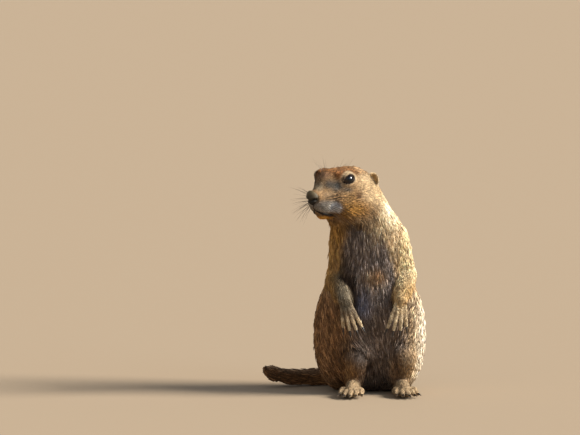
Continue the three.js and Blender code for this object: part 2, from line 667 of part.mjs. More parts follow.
function addHead() {
  const low = plus(EYE_MIDPOINT, [-46, -48, -44]);
  const high = plus(EYE_MIDPOINT, [56, 48, 20]);
  const skull = carve(bodyForm, low, high, CELL.head);
  const headHull = swollen(skull, GAP);
  const head = side(skull, NECK_TOP);
  const local = skullForm();

  const nosePad = turned(ellipsoid(NOSE_PLACE, NOSE_RADII), headPlace);
  const noseBox = [plus(onHead(NOSE_PLACE), [-9, -9, -9]), plus(onHead(NOSE_PLACE), [9, 9, 9])];
  const nose = carve(nosePad, ...noseBox, CELL.nose);
  const nostrils = [1, -1].map((s) => taper(
    [[40, s * 1.6, -17.8], [36.6, s * 2.5, -16.4], [34.6, s * 4.6, -15], [35, s * 7, -14.6]].map(onHead),
    [0.5, 1.1, 1, 0.4], 6));
  const noseFree = cut(nose, ...nostrils);

  const parting = taper([[37, 0, -20.5], [33, 0, -22], [28.4, 0, -25], [26.5, 0, -30]].map(onHead),
    [0.3, 0.7, 0.7, 0.4], 6);
  const upperLip = mouthLine(local, MOUTH_CORNER[1] + 1.1);
  const lowerLip = mouthLine(local, MOUTH_CORNER[1] - 1.3);
  const lipRadii = upperLip.map((_, i) => 0.6 + 0.5 * Math.sin((Math.PI * i) / (upperLip.length - 1)));
  const jawOutline = new THREE.Shape([
    [45, MOUTH_CORNER[1] + 2.2], [30, MOUTH_CORNER[1] + 0.4], [22, MOUTH_CORNER[1] - 0.4],
    [MOUTH_CORNER[0], MOUTH_CORNER[1] + 0.5], [MOUTH_CORNER[0] - 5, -36], [MOUTH_CORNER[0] - 8, -60], [45, -60],
  ].map(([x, z]) => new THREE.Vector2(x, z)));
  const jawBlock = (grow) => {
    const block = new THREE.ExtrudeGeometry(jawOutline, { depth: 60, bevelEnabled: false });
    block.translate(0, 0, -30).rotateX(Math.PI / 2).translate(-grow, 0, grow).applyMatrix4(headPlace);
    return solidOf(block);
  };
  const jawWhole = largest(head.intersect(jawBlock(0)));
  const jaw = join(jawWhole, largest(taper(lowerLip.map(onHead), lipRadii, 6).intersect(jawBlock(0))));
  const upper = cut(join(cut(head, jawBlock(GAP)), cut(taper(upperLip.map(onHead), lipRadii, 6), jawBlock(GAP))), parting);

  let face = cut(upper, swollen(nose, GAP));
  for (const [name, s] of [["left", 1], ["right", -1]]) {
    const place = onHead(eyePlace(s));
    const ball = solidOf(new THREE.SphereGeometry(EYE_RADIUS, 14, 10).translate(...place));
    const socket = solidOf(new THREE.SphereGeometry(EYE_RADIUS + GAP, 14, 10).translate(...place));
    face = cut(face, eyeOpening(s).transform(headPlace.elements));
    for (const lid of lids(s)) face = join(face, lid.transform(headPlace.elements));
    face = cut(face, socket);
    addNode(`eye_${name}`, ball, EYE_GLOSS, place);
    const earPlace = onHead([EAR_PLACE[0], s * EAR_PLACE[1], EAR_PLACE[2]]);
    const earSolid = carve(turned(ear(s), headPlace), plus(earPlace, [-11, -11, -11]), plus(earPlace, [11, 11, 11]), CELL.ear);
    addNode(`ear_${name}`, cut(earSolid, headHull), PALE_COAT, earPlace);
  }
  addNode("head", face, COAT, onHead([-17, 0, -8]));
  addNode("lower_jaw", jaw, PALE_COAT, onHead([-4, 0, -25]));
  addNode("nose", noseFree, BARE_SKIN, onHead(NOSE_PLACE));
}

function addTail() {
  const tailForm = TAIL_LINE.slice(1).map((p, i) => bone(TAIL_LINE[i], p, TAIL_RADII[i], TAIL_RADII[i + 1]));
  const brush = cut(ground(carve(besideBody(blend(5, ...tailForm)), [-106, 14, -4], [6, 66, 30], CELL.tail)), wholeHull);
  const first = { point: mix(TAIL_LINE[2], TAIL_LINE[3], 0.1), normal: [-0.97, -0.2, 0] };
  const second = { point: mix(TAIL_LINE[3], TAIL_LINE[4], 0.2), normal: [-0.92, -0.38, 0.1] };
  addNode("tail_base", otherSide(brush, first), COAT, TAIL_LINE[1]);
  addNode("tail_middle", otherSide(side(brush, first), second), TAIL_COAT, TAIL_LINE[2]);
  addNode("tail_tip", side(side(brush, first), second), TAIL_COAT, TAIL_LINE[4]);
}

const torso = addLegs();
addTail();
const neckAndChest = side(torso, CHEST_BASE);
addNode("abdomen", otherSide(torso, CHEST_BASE), BELLY_COAT, [0, 10, 50]);
addNode("chest", otherSide(neckAndChest, NECK_BASE), BELLY_COAT, [0, 6, 110]);
const neck = carve(bodyForm, [-60, -50, 134], [50, 50, 200], CELL.neck);
addNode("neck", cut(otherSide(side(neck, NECK_BASE), NECK_TOP), ...armHollows), COAT, [-8, 4, 150]);
addArms();
addHead();

// The origin is the middle of the box's foot, on the ground.
const box = new THREE.Box3().setFromObject(root);
const foot = box.getCenter(new THREE.Vector3()).setZ(box.min.z);
for (const mesh of root.children) mesh.position.sub(foot);

export default root;
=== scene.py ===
"""Prairie dog sitting up, dressed round the fixed frame: skin, coat, eyes, lids, nose, lips, claws, whiskers and stage."""
import json
import math

import bmesh
import bpy
import numpy as np
from bpy.props import FloatProperty, FloatVectorProperty, IntProperty, PointerProperty
from mathutils import Matrix, Vector
from mathutils.bvhtree import BVHTree

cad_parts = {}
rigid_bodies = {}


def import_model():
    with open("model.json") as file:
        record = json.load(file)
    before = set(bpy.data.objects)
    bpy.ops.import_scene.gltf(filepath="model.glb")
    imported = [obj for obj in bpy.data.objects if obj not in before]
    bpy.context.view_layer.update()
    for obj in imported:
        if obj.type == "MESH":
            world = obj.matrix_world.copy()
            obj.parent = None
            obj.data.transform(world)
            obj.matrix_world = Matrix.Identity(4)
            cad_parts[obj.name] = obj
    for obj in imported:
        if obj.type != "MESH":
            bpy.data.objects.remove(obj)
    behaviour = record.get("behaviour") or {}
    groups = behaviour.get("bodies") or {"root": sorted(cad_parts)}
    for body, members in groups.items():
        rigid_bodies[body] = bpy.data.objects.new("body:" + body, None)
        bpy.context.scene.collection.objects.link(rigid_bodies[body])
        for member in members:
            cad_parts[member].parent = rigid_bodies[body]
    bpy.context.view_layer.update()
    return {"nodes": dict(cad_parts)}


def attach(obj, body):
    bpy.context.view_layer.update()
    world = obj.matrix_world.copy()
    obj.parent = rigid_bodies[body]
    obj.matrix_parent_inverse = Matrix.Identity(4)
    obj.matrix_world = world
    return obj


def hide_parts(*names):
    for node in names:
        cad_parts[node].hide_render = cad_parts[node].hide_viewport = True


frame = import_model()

bl_info = {
    "name": "Prairie Dog",
    "version": (1, 0, 0),
    "blender": (4, 5, 0),
    "location": "View3D > Sidebar > Prairie Dog",
    "description": "Dresses the solids of a sitting prairie dog with its skin, coat and fine parts",
    "category": "Object",
}

MM = 0.001
BODY = "root"
NODES = frame["nodes"]

# The head's own directions: forward to the nose, to the animal's left, and up, from the point between the eyes.
HEAD_PLACE = np.array([-8.845, -11.762, 193.8])
HEAD_TURN = np.array(
    (Matrix.Rotation(math.radians(-133), 3, "Z") @ Matrix.Rotation(math.radians(1), 3, "Y"))
)
EYE_PLACE = (0.5, 15.6, 0.2)
EYE_AXIS = (0.26, 0.93, 0.16)
NOSE_PLACE = (28.9, 0.0, -14.6)
NOSE_RADII = (5.6, 6.3, 7.4)
EAR_PLACE = (-27.6, 20.9, -2.6)  # the middle of the left ear's rim
EAR_FACE = (0.60, 0.78, 0.12)  # the way its cup opens
EAR_RADII = (6.3, 8.0, 5.0)  # across, up and deep
MOUTH_LINE = ((0, 8, 20, 32, 46, 62), (-26.2, -27.6, -29.6, -30.6, -30.8, -30.0))  # degrees aside and height
BODY_AXIS = (23.2, 8.0)  # the trunk's own middle, x and y
SWELL = 0.22  # closes the cuts between the solids, in mm
HEAD_KINDS = ["head", "nose", "lower_jaw"]

HANDS = {  # wrist, lean of the hand, side of the body
    "right": ((0.755, -32.262, 84.0), 0.27, -1),
    "left": ((50.355, -31.762, 84.5), -0.14, 1),
}
ELBOWS = ((-7.0, 4.2, 102.5), (55.6, 5.2, 105.5))  # right and left
FEET = {  # ball of the foot, ankle, splay in degrees
    "right": ((6.155, -41.762, 5.2), (8.655, -14.762, 9.0), -6.0),
    "left": ((54.155, -38.762, 5.2), (50.655, -12.762, 9.0), 12.0),
}
TAIL_LINE = np.array(
    [[-8, 40, 15], [-27, 50, 9.5], [-50, 48, 7.6], [-72, 40, 8.6], [-88, 33, 12.8], [-97, 29, 18]]
) + np.array([23.155, 4.238, 0])

CAMERA_AIM = (-0.04885, 0.00424, 0.15765)
CAMERA_AWAY, CAMERA_LEVEL = 5.0, 5.0  # metres and degrees
CAMERA_LENS, CAMERA_SENSOR = 344.8, 36.0  # in mm

# Tones of the coat, as they are in plain daylight, and some tones of painted sunlight and painted shade, marked below.
CREAM = (0.57, 0.43, 0.265)
PALE_BUFF = (0.45, 0.32, 0.185)
BUFF = (0.41, 0.255, 0.125)
GOLD = (0.36, 0.19, 0.042)
TAWNY = (0.29, 0.135, 0.042)
RUST = (0.20, 0.076, 0.022)
UMBER = (0.11, 0.052, 0.021)
DARK = (0.028, 0.017, 0.011)
PALE_GREY = (0.60, 0.565, 0.52)
# Painted shade on the muzzle's shaded side, over its dark fur.
SLATE_SHADE = (0.058, 0.057, 0.053)
# Painted shade on the -x forearm, over its own greyish tone.
OLIVE_SHADE = (0.13, 0.11, 0.078)
GREY_BROWN = (0.175, 0.142, 0.125)
# Painted bluish shade, as from the sky, on the dark belly.
BLUE_GREY_SHADE = (0.14, 0.155, 0.225)
FLANK_BROWN = (0.215, 0.14, 0.088)
# Painted sunlight, laid on the lit edges of the +x flank and thigh.
SUNLIT = (0.68, 0.56, 0.42)
PALEST_HAIR = (0.82, 0.78, 0.76)
FLOOR_FLECK = (0.25, 0.205, 0.155)

# For each solid: length of the hair, width of a lock, how high it stands, locks to a square millimetre, depth of the
# skin under the solid's surface, and how far the solid's facets are rounded off.
COAT_FORM = {
    "head": (4.2, 0.28, 0.45, 6.4, 0.9, 0.13),
    "lower_jaw": (3.4, 0.28, 0.42, 6.2, 0.8, 0.13),
    "nose": (1.3, 0.26, 0.25, 6.0, 0.35, 0.10),
    "ear": (1.9, 0.26, 0.3, 6.0, 0.25, 0.05),
    "neck": (8.2, 0.38, 0.7, 4.2, 1.5, 0.7),
    "chest": (9.6, 0.38, 0.7, 4.0, 1.7, 1.0),
    "abdomen": (10.0, 0.40, 0.7, 3.35, 1.8, 1.0),
    "upper_arm": (7.6, 0.36, 0.6, 4.4, 1.2, 0.35),
    "forearm": (5.8, 0.33, 0.5, 4.8, 1.0, 0.25),
    "hand": (2.4, 0.28, 0.3, 5.6, 0.0, 0.03),
    "thigh": (9.4, 0.40, 0.65, 3.0, 1.7, 1.0),
    "shank": (6.0, 0.36, 0.5, 4.4, 1.1, 0.5),
    "foot": (2.2, 0.25, 0.2, 6.2, 0.0, 0.05),
    "tail_base": (9.0, 0.5, 0.9, 3.2, 1.6, 0.5),
    "tail_middle": (9.6, 0.5, 1.0, 3.2, 1.7, 0.4),
    "tail_tip": (10.5, 0.5, 1.1, 3.4, 1.7, 0.3),
}
# For each piece of coat: the solids that it covers, its slot, the size of its clumps in mm, and how much shorter its
# streaks are upright than across, as a factor on height.
COAT_PIECES = {
    "face_coat": (("face",), "coat", 1.8, 1.0),
    "head_coat": (("head", "nose", "lower_jaw", "ear"), "coat", 2.0, 1.0),
    "neck_coat": (("neck",), "coat", 3.0, 0.28),
    "chest_coat": (("chest",), "belly_coat", 3.4, 0.25),
    "arm_coat": (("upper_arm", "forearm"), "pale_coat", 2.6, 0.3),
    "hand_coat": (("hand",), "pale_coat", 1.6, 0.5),
    "belly_coat": (("abdomen",), "belly_coat", 3.6, 0.25),
    "haunch_coat": (("thigh",), "coat", 3.4, 0.28),
    "leg_coat": (("shank",), "pale_coat", 2.6, 0.3),
    "foot_coat": (("foot",), "pale_coat", 1.6, 1.0),
    "tail_coat": (("tail_base", "tail_middle", "tail_tip"), "tail_coat", 4.2, 1.0),
}
# Each lock draws a number from 0 to 1. Guard hairs, dusky hairs and strays start at these.
GUARD_FROM, DUSK_FROM, STRAY_FROM = 0.86, 0.93, 0.97
# Values that only the growth of the coat needs.
GROWTH_VALUES = ("lie", "outward", "length", "width", "lift", "amount", "coat_piece")


def kind_of(node):
    """The row of COAT_FORM that a solid's name belongs to."""
    return node if node in COAT_FORM else node.removesuffix("_left").removesuffix("_right")


def unit(values):
    """Each row at length one."""
    values = np.asarray(values, float)
    return values / np.maximum(np.linalg.norm(values, axis=-1, keepdims=True), 1e-9)


def step(values, low, high):
    """0 below low, 1 above high and smooth between."""
    t = np.clip((values - low) / (high - low), 0, 1)
    return t * t * (3 - 2 * t)


def in_head(points):
    """Points of the row frame, in mm, in the head's own directions."""
    return (points - HEAD_PLACE) @ HEAD_TURN


def from_head(points):
    """Points in the head's own directions, in the row frame in mm."""
    return np.asarray(points, float) @ HEAD_TURN.T + HEAD_PLACE


def spot(points, centre, radii, soft=0.6):
    """How strongly each point lies in a soft-edged egg-shaped spot."""
    reach = np.linalg.norm((points - np.array(centre)) / np.array(radii), axis=1)
    return 1 - step(reach, 1 - soft, 1 + 0.3 * soft)


def waves(points, size, seed):
    """A soft uneven field from -1 to 1 with about the given size in mm."""
    rng = np.random.default_rng(seed)
    total = np.zeros(len(points))
    for _ in range(7):
        way = unit(rng.normal(size=3)) / size * rng.uniform(0.7, 1.6)
        total += np.sin(points @ way * 2 * math.pi + rng.uniform(0, 2 * math.pi))
    return total / 3.2


class Links:
    """Which vertices share an edge, for evening out values over a surface."""

    def __init__(self, mesh):
        edges = np.empty(len(mesh.edges) * 2, np.int64)
        mesh.edges.foreach_get("vertices", edges)
        edges = edges.reshape(-1, 2)
        self.start = np.concatenate([edges[:, 0], edges[:, 1]])
        self.end = np.concatenate([edges[:, 1], edges[:, 0]])
        self.count = len(mesh.vertices)
        self.degree = np.maximum(np.bincount(self.start, minlength=self.count), 1)

    def mean(self, values):
        """The mean of each vertex's neighbours."""
        if values.ndim == 1:
            return np.bincount(self.start, values[self.end], self.count) / self.degree
        return np.stack([self.mean(values[:, k]) for k in range(values.shape[1])], 1)

    def evened(self, values, rounds, share=0.5):
        """The values after so many rounds of moving each towards its neighbours' mean."""
        share = np.asarray(share, float)
        if share.ndim and values.ndim > 1:
            share = share[:, None]
        for _ in range(rounds):
            values = values + share * (self.mean(values) - values)
        return values

    def largest(self):
        """True for the vertices of the largest connected part."""
        label = np.arange(self.count)
        while True:
            new = label.copy()
            np.minimum.at(new, self.start, label[self.end])
            new = new[new]
            if (new == label).all():
                break
            label = new
        return label == np.bincount(label).argmax()


def vertex_rows(mesh, field):
    """One value of three numbers from each vertex."""
    found = np.empty(len(mesh.vertices) * 3, np.float32)
    mesh.vertices.foreach_get(field, found)
    return found.reshape(-1, 3).astype(float)


def points_of(mesh):
    """A mesh's vertices in mm."""
    return vertex_rows(mesh, "co") / MM


def normals_of(mesh):
    """The direction out of the surface at each vertex."""
    return vertex_rows(mesh, "normal")


def put_points(mesh, points):
    """Moves a mesh's vertices to the given points, in mm."""
    mesh.vertices.foreach_set("co", (points * MM).astype(np.float32).ravel())
    mesh.update()


def put_values(mesh, **layers):
    """Stores numbers, directions or tones on a mesh's vertices, each under its name."""
    for name, values in layers.items():
        values = np.asarray(values, np.float32)
        width = 1 if values.ndim == 1 else values.shape[1]
        kind, field = {1: ("FLOAT", "value"), 3: ("FLOAT_VECTOR", "vector"), 4: ("FLOAT_COLOR", "color")}[width]
        layer = mesh.attributes.get(name) or mesh.attributes.new(name, kind, "POINT")
        layer.data.foreach_set(field, values.ravel())


def drop_values(mesh, *names):
    """Takes stored values off a mesh again."""
    for name in names:
        if name in mesh.attributes:
            mesh.attributes.remove(mesh.attributes[name])


def tones(rows):
    """Tones with a fourth number, as colour attributes want."""
    return np.concatenate([rows, np.ones((len(rows), 1))], 1)


def in_scene(name, data):
    """A new object of the scene."""
    obj = bpy.data.objects.new(name, data)
    bpy.context.scene.collection.objects.link(obj)
    return obj


def new_piece(name, mesh, material, slot, *replaced):
    """A finished mesh as a piece that rides on the body."""
    obj = in_scene(name, mesh)
    mesh.materials.clear()
    mesh.materials.append(material)
    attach(obj, BODY)
    if replaced:
        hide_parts(*replaced)
    return obj


def shade_smooth(mesh):
    """Lets a mesh's faces shade into each other."""
    mesh.polygons.foreach_set("use_smooth", [True] * len(mesh.polygons))


def mesh_from(name, points, faces, smooth=True, scale=MM):
    """A new mesh from points in mm, or in the size that scale gives."""
    mesh = bpy.data.meshes.new(name)
    mesh.from_pydata((np.asarray(points) * scale).tolist(), [], [tuple(map(int, f)) for f in faces])
    mesh.update()
    if smooth:
        shade_smooth(mesh)
    return mesh


def ring_pairs(sides):
    """Each place on a ring of so many, with the next one."""
    return [(j, (j + 1) % sides) for j in range(sides)]


def band_faces(rings, sides):
    """The faces that join rings of points, listed one after the other, into a tube."""
    return [
        (i * sides + j, i * sides + k, (i + 1) * sides + k, (i + 1) * sides + j)
        for i in range(rings - 1)
        for j, k in ring_pairs(sides)
    ]


def join_shape(points, faces, more, more_faces):
    """Adds one shape's points and faces to lists that hold others already."""
    faces += [tuple(len(points) + v for v in f) for f in more_faces]
    points += list(more)


def baked_mesh(obj, name):
    """What an object's modifiers make, as a plain mesh, with the object itself removed."""
    graph = bpy.context.evaluated_depsgraph_get()
    mesh = bpy.data.meshes.new_from_object(obj.evaluated_get(graph), preserve_all_data_layers=True, depsgraph=graph)
    mesh.name = name
    bpy.data.objects.remove(obj)
    return mesh


# Nodes, for materials and for what is repeated.


class Nodes:
    """Short ways of adding and joining nodes in one tree."""

    def __init__(self, tree):
        self.tree = tree

    def feed(self, socket, value):
        """Joins a node's output to a socket, or sets the socket to a plain value."""
        if isinstance(value, bpy.types.NodeSocket):
            self.tree.links.new(value, socket)
        else:
            socket.default_value = value

    def add(self, kind, inputs=None, **settings):
        node = self.tree.nodes.new(kind)
        for key, value in settings.items():
            setattr(node, key, value)
        for key, value in (inputs or {}).items():
            self.feed(node.inputs[key], value)
        return node

    def out(self, kind, inputs=None, **settings):
        return self.add(kind, inputs, **settings).outputs[0]

    def attribute(self, name, output="Fac"):
        return self.add("ShaderNodeAttribute", attribute_name=name).outputs[output]

    def place(self):
        return self.add("ShaderNodeTexCoord").outputs["Object"]

    def math(self, operation, a, b=0.0, clamp=False):
        return self.out("ShaderNodeMath", {0: a, 1: b}, operation=operation, use_clamp=clamp)

    def times(self, value, *others):
        for other in others:
            value = self.math("MULTIPLY", value, other)
        return value

    def plus(self, a, b):
        return self.math("ADD", a, b)

    def minus(self, a, b):
        return self.math("SUBTRACT", a, b)

    def above(self, a, b):
        return self.math("GREATER_THAN", a, b)

    def below(self, a, b):
        return self.math("LESS_THAN", a, b)

    def vector(self, operation, a, b):
        return self.out("ShaderNodeVectorMath", {0: a, 1: b}, operation=operation)

    def scaled(self, vector, by):
        return self.out("ShaderNodeVectorMath", {0: vector, "Scale": by}, operation="SCALE")

    def combined(self, *parts):
        return self.out("ShaderNodeCombineXYZ", dict(enumerate(parts)))

    def mix(self, amount, a, b):
        node = self.add("ShaderNodeMix", data_type="RGBA")
        self.feed(node.inputs[0], amount)
        for index, tone in ((6, a), (7, b)):
            self.feed(node.inputs[index], tone if isinstance(tone, bpy.types.NodeSocket) else (*tone[:3], 1))
        return node.outputs[2]

    def ramp(self, value, low, high, start=0.0, end=1.0):
        inputs = {"Value": value, "From Min": low, "From Max": high, "To Min": start, "To Max": end}
        return self.out("ShaderNodeMapRange", inputs, interpolation_type="SMOOTHSTEP")

    def noise(self, vector, scale, detail=3.0, rough=0.5):
        inputs = {"Vector": vector, "Scale": scale, "Detail": detail, "Roughness": rough}
        return self.add("ShaderNodeTexNoise", inputs).outputs["Fac"]

    def named(self, name, kind="FLOAT"):
        return self.add("GeometryNodeInputNamedAttribute", {"Name": name}, data_type=kind).outputs["Attribute"]

    def random(self, low, high, seed, kind="FLOAT"):
        node = self.add("FunctionNodeRandomValue", data_type=kind)
        sockets = {s.name: s for s in node.inputs if s.enabled}
        for name, value in (("Min", low), ("Max", high), ("Seed", seed)):
            self.feed(sockets[name], value)
        return next(s for s in node.outputs if s.enabled)

    def store(self, geometry, name, value, kind="FLOAT", domain="POINT"):
        inputs = {"Geometry": geometry, "Name": name}
        node = self.add("GeometryNodeStoreNamedAttribute", inputs, data_type=kind, domain=domain)
        self.feed(node.inputs["Value"], value)
        return node.outputs["Geometry"]


def new_tree(name, kind, inputs, outputs):
    """A node tree with named inputs and outputs, as (tree, its nodes, the values given to it, its results)."""
    tree = bpy.data.node_groups.new(name, kind)
    for label, value_kind, value in inputs:
        socket = tree.interface.new_socket(name=label, in_out="INPUT", socket_type="NodeSocket" + value_kind)
        if value is not None:
            socket.default_value = value
    for label, value_kind in outputs:
        tree.interface.new_socket(name=label, in_out="OUTPUT", socket_type="NodeSocket" + value_kind)
    start, end = tree.nodes.new("NodeGroupInput"), tree.nodes.new("NodeGroupOutput")
    return tree, Nodes(tree), start.outputs, end.inputs


def contrasted(n, fine, contrast):
    """A shade round 1 from a noise round a half."""
    return n.plus(n.times(n.minus(fine, 0.5), contrast), 1.0)


def fine_hair(n, given):
    """The single hairs within a lock: streaks along it, as a shade and a height."""
    fine = n.noise(given["Place"], given["Fineness"], 3.0, 0.6)
    return contrasted(n, fine, given["Contrast"]), fine


def bare_skin_grain(n, given):
    """Fine pebbled and wrinkled skin, as a shade and a height."""
    scaled = n.scaled(n.place(), given["Scale"])
    pebble = n.add("ShaderNodeTexVoronoi", {"Vector": scaled, "Scale": 1900.0}, feature="SMOOTH_F1").outputs["Distance"]
    wrinkle = n.noise(scaled, 700.0, 4.0, 0.6)
    return contrasted(n, wrinkle, given["Contrast"]), n.plus(n.times(pebble, -0.6), wrinkle)


SHARED_GROUPS = {
    "Fine Hair": (fine_hair, [("Place", "Vector", None), ("Fineness", "Float", 1.0), ("Contrast", "Float", 0.4)]),
    "Bare Skin Grain": (bare_skin_grain, [("Scale", "Float", 1.0), ("Contrast", "Float", 0.5)]),
}


def add_group(n, name, **values):
    """Places a shared group, built the first time it is wanted, and returns its shade and height."""
    tree = bpy.data.node_groups.get(name)
    if tree is None:
        fill, inputs = SHARED_GROUPS[name]
        results = ("Shade", "Height")
        tree, inner, given, end = new_tree(name, "ShaderNodeTree", inputs, [(label, "Float") for label in results])
        for label, value in zip(results, fill(inner, given)):
            inner.feed(end[label], value)
    node = n.add("ShaderNodeGroup", values, node_tree=tree)
    return node.outputs["Shade"], node.outputs["Height"]


def new_material(name):
    """An empty material with its shader, as (material, nodes, shader)."""
    material = bpy.data.materials.new(name)
    material.use_nodes = True
    shader = material.node_tree.nodes["Principled BSDF"]
    return material, Nodes(material.node_tree), shader


def join_shader(n, shader, tone, rough, bump=None, specular=0.5):
    """Gives a shader its tone, roughness, bump (strength, depth, height) and shine."""
    n.feed(shader.inputs["Base Color"], tone)
    n.feed(shader.inputs["Roughness"], rough)
    if bump:
        made = n.out("ShaderNodeBump", dict(zip(("Strength", "Distance", "Height"), bump)))
        n.feed(shader.inputs["Normal"], made)
    shader.inputs["Specular IOR Level"].default_value = specular


def lock_material():
    """Locks of hair: dark at the root, paler outwards, some with dark ends, with single hairs along each."""
    material, n, shader = new_material("Coat locks")
    look = bpy.context.scene.prairie_coat
    along, across, pick = n.attribute("along"), n.attribute("across"), n.attribute("pick")
    root, tip = n.attribute("root_tone", "Color"), n.attribute("tip_tone", "Color")
    dark_end = n.times(n.ramp(along, 0.35, 0.8), n.below(pick, 0.38))
    dark_end = n.math("MULTIPLY", dark_end, n.attribute("grizzle"), clamp=True)
    tone = n.mix(dark_end, n.mix(n.ramp(along, 0.12, 0.75), root, tip), look.dark_end_tone)
    place = n.combined(n.times(across, 9.0), n.times(along, 1.3), n.times(pick, 97.0))
    hair, height = add_group(n, "Fine Hair", Place=place, Fineness=1.0, Contrast=0.9)
    by_lock = n.ramp(pick, 0.0, GUARD_FROM, 1 - look.lock_contrast, 1 + look.lock_contrast)
    by_streak = n.ramp(n.attribute("clump"), 0.0, 1.0, 1 - look.clump_contrast, 1 + look.clump_contrast)
    guard = n.times(n.above(pick, GUARD_FROM), n.below(pick, DUSK_FROM))
    guard = n.times(guard, n.attribute("frost"), n.ramp(along, 0.1, 0.5))
    dusk = n.times(n.above(pick, DUSK_FROM), n.attribute("grizzle"))
    shade = n.times(hair, by_lock, by_streak, n.plus(guard, 1.0), n.minus(1.0, n.times(dusk, 0.8)))
    tone = n.vector("MINIMUM", n.scaled(tone, shade), PALEST_HAIR)
    join_shader(n, shader, tone, n.ramp(height, 0.2, 0.8, 0.5, 0.78), (0.35, 0.0002, height), 0.16)
    return material


def skin_material():
    """The skin under the coat, in the coat's own markings, a little darker, with short underfur; the darkness is part
    dark underfur and part painted shade between the locks.
    """
    material, n, shader = new_material("Skin and underfur")
    place = n.place()
    fine = n.noise(place, 1500.0, 4.0, 0.65)
    tuft = n.noise(place, 420.0, 2.0)
    root, tip = n.attribute("root_tone", "Color"), n.attribute("tip_tone", "Color")
    tone = n.mix(n.ramp(fine, 0.3, 0.7), root, tip)
    tone = n.mix(n.ramp(tuft, 0.35, 0.75, 0.0, 0.45), tone, root)
    join_shader(n, shader, tone, n.ramp(fine, 0.2, 0.8, 0.65, 0.9), (0.7, 0.0006, fine), 0.2)
    return material


def bare_material(name, tone, rough, grain=1.0):
    """Bare skin such as the nose, lips and lids, in a tone held on the piece or one tone."""
    material, n, shader = new_material(name)
    shade, height = add_group(n, "Bare Skin Grain", Scale=grain, Contrast=0.9)
    base = n.scaled(n.mix(n.attribute("tint"), tone, n.attribute("tone", "Color")), shade)
    rough = n.ramp(height, 0.0, 0.8, rough - 0.1, rough + 0.12)
    join_shader(n, shader, base, rough, (0.45, 0.0002, height), 0.25)
    return material


def claw_material():
    """Horn: dark at the root, paler and smoother to the tip, with fine lines along it."""
    material, n, shader = new_material("Claw horn")
    look = bpy.context.scene.prairie_claws
    along, across = n.attribute("along"), n.attribute("across")
    place = n.combined(n.times(across, 14.0), n.times(along, 1.5))
    shade, height = add_group(n, "Fine Hair", Place=place, Contrast=0.5)
    tone = n.scaled(n.mix(n.ramp(along, 0.6, 1.0), look.root_tone, look.tip_tone), shade)
    join_shader(n, shader, tone, n.ramp(along, 0.0, 1.0, 0.5, 0.28), (0.3, 0.0001, height))
    return material


def eye_material():
    """A wet dark eye: black pupil, thin dark brown iris and a darker edge."""
    material, n, shader = new_material("Wet dark eye")
    look = bpy.context.scene.prairie_eyes
    gaze = n.attribute("gaze")
    fleck = n.noise(n.place(), 2600.0, 3.0, 0.6)
    iris = n.mix(n.ramp(fleck, 0.3, 0.7), look.iris_tone, [0.45 * v for v in look.iris_tone])
    tone = n.mix(n.ramp(gaze, 0.17, 0.21), look.pupil_tone, iris)
    tone = n.mix(n.ramp(gaze, 0.30, 0.36), tone, look.edge_tone)
    join_shader(n, shader, tone, n.ramp(gaze, 0.0, 0.5, 0.05, 0.12))
    shader.inputs["IOR"].default_value = 1.4
    return material


def whisker_material():
    """Stiff dark hairs, paler at the ends."""
    material, n, shader = new_material("Whisker")
    look = bpy.context.scene.prairie_whiskers
    fleck = n.noise(n.place(), 900.0, 2.0)
    tone = n.mix(n.ramp(n.attribute("along"), 0.4, 1.0), look.root_tone, look.tip_tone)
    tone = n.mix(n.ramp(fleck, 0.4, 0.9, 0.0, 0.4), tone, look.tip_tone)
    join_shader(n, shader, tone, n.ramp(fleck, 0.0, 1.0, 0.35, 0.5))
    return material


def floor_material():
    """Plain pale studio floor."""
    material, n, shader = new_material("Pale floor")
    fleck = n.noise(n.place(), 60.0)
    tone = n.mix(n.ramp(fleck, 0.3, 0.7, 0.0, 0.04), bpy.context.scene.prairie_stage.floor_tone, FLOOR_FLECK)
    join_shader(n, shader, tone, 0.9, specular=0.1)
    return material


# The skin and what it carries.


def merged_copy(node):
    """A node's closed surface as a bmesh with its vertices joined, left for the caller to free."""
    bm = bmesh.new()
    bm.from_mesh(NODES[node].data)
    bmesh.ops.remove_doubles(bm, verts=bm.verts, dist=2e-6)
    bm.normal_update()
    return bm


def fingers():
    """Root, knuckle, middle and tip of each finger of both hands, and the way it points, in mm."""
    found = []
    for wrist, lean, side in HANDS.values():
        down = np.array([math.sin(lean), -0.1, -math.cos(lean)])
        sideways = np.array([-side * math.cos(lean), -0.08, -side * math.sin(lean)])
        for i in range(4):
            spread = i - 1.5
            length = 17.4 - 1.2 * (spread - 0.5) ** 2
            root = np.array(wrist) + sideways * 1.8 * spread + down * 0.5
            knuckle = np.array(wrist) + down * 7.4 + sideways * 3.1 * spread + np.array([0, -2.8 + 0.7 * spread**2, 0])
            way = down * 1.03 + sideways * 0.165 * spread
            middle = knuckle + way * 0.5 * length + np.array([0, -1.5, 0])
            found.append((root, knuckle, middle, knuckle + way * length + np.array([0, 1.4, 0]), way))
    return found


def toes():
    """Base, middle and tip of each toe of both feet, and the way it points, in mm."""
    found = []
    for ball_place, _, splay in FEET.values():
        turn = math.radians(splay)
        forward = np.array([math.sin(turn), -math.cos(turn), 0])
        sideways = np.array([forward[1], -forward[0], 0])
        for i in range(5):
            spread = i - 2
            length = 14.5 - 1.1 * spread**2
            base = np.array(ball_place) + sideways * 3.9 * spread + forward * (2 - 0.9 * spread**2)
            way = forward + sideways * 0.1 * spread
            middle = base + way * 0.55 * length + np.array([0, 0, 0.9])
            found.append((base, middle, base + way * length + np.array([0, 0, -2.0]), way))
    return found


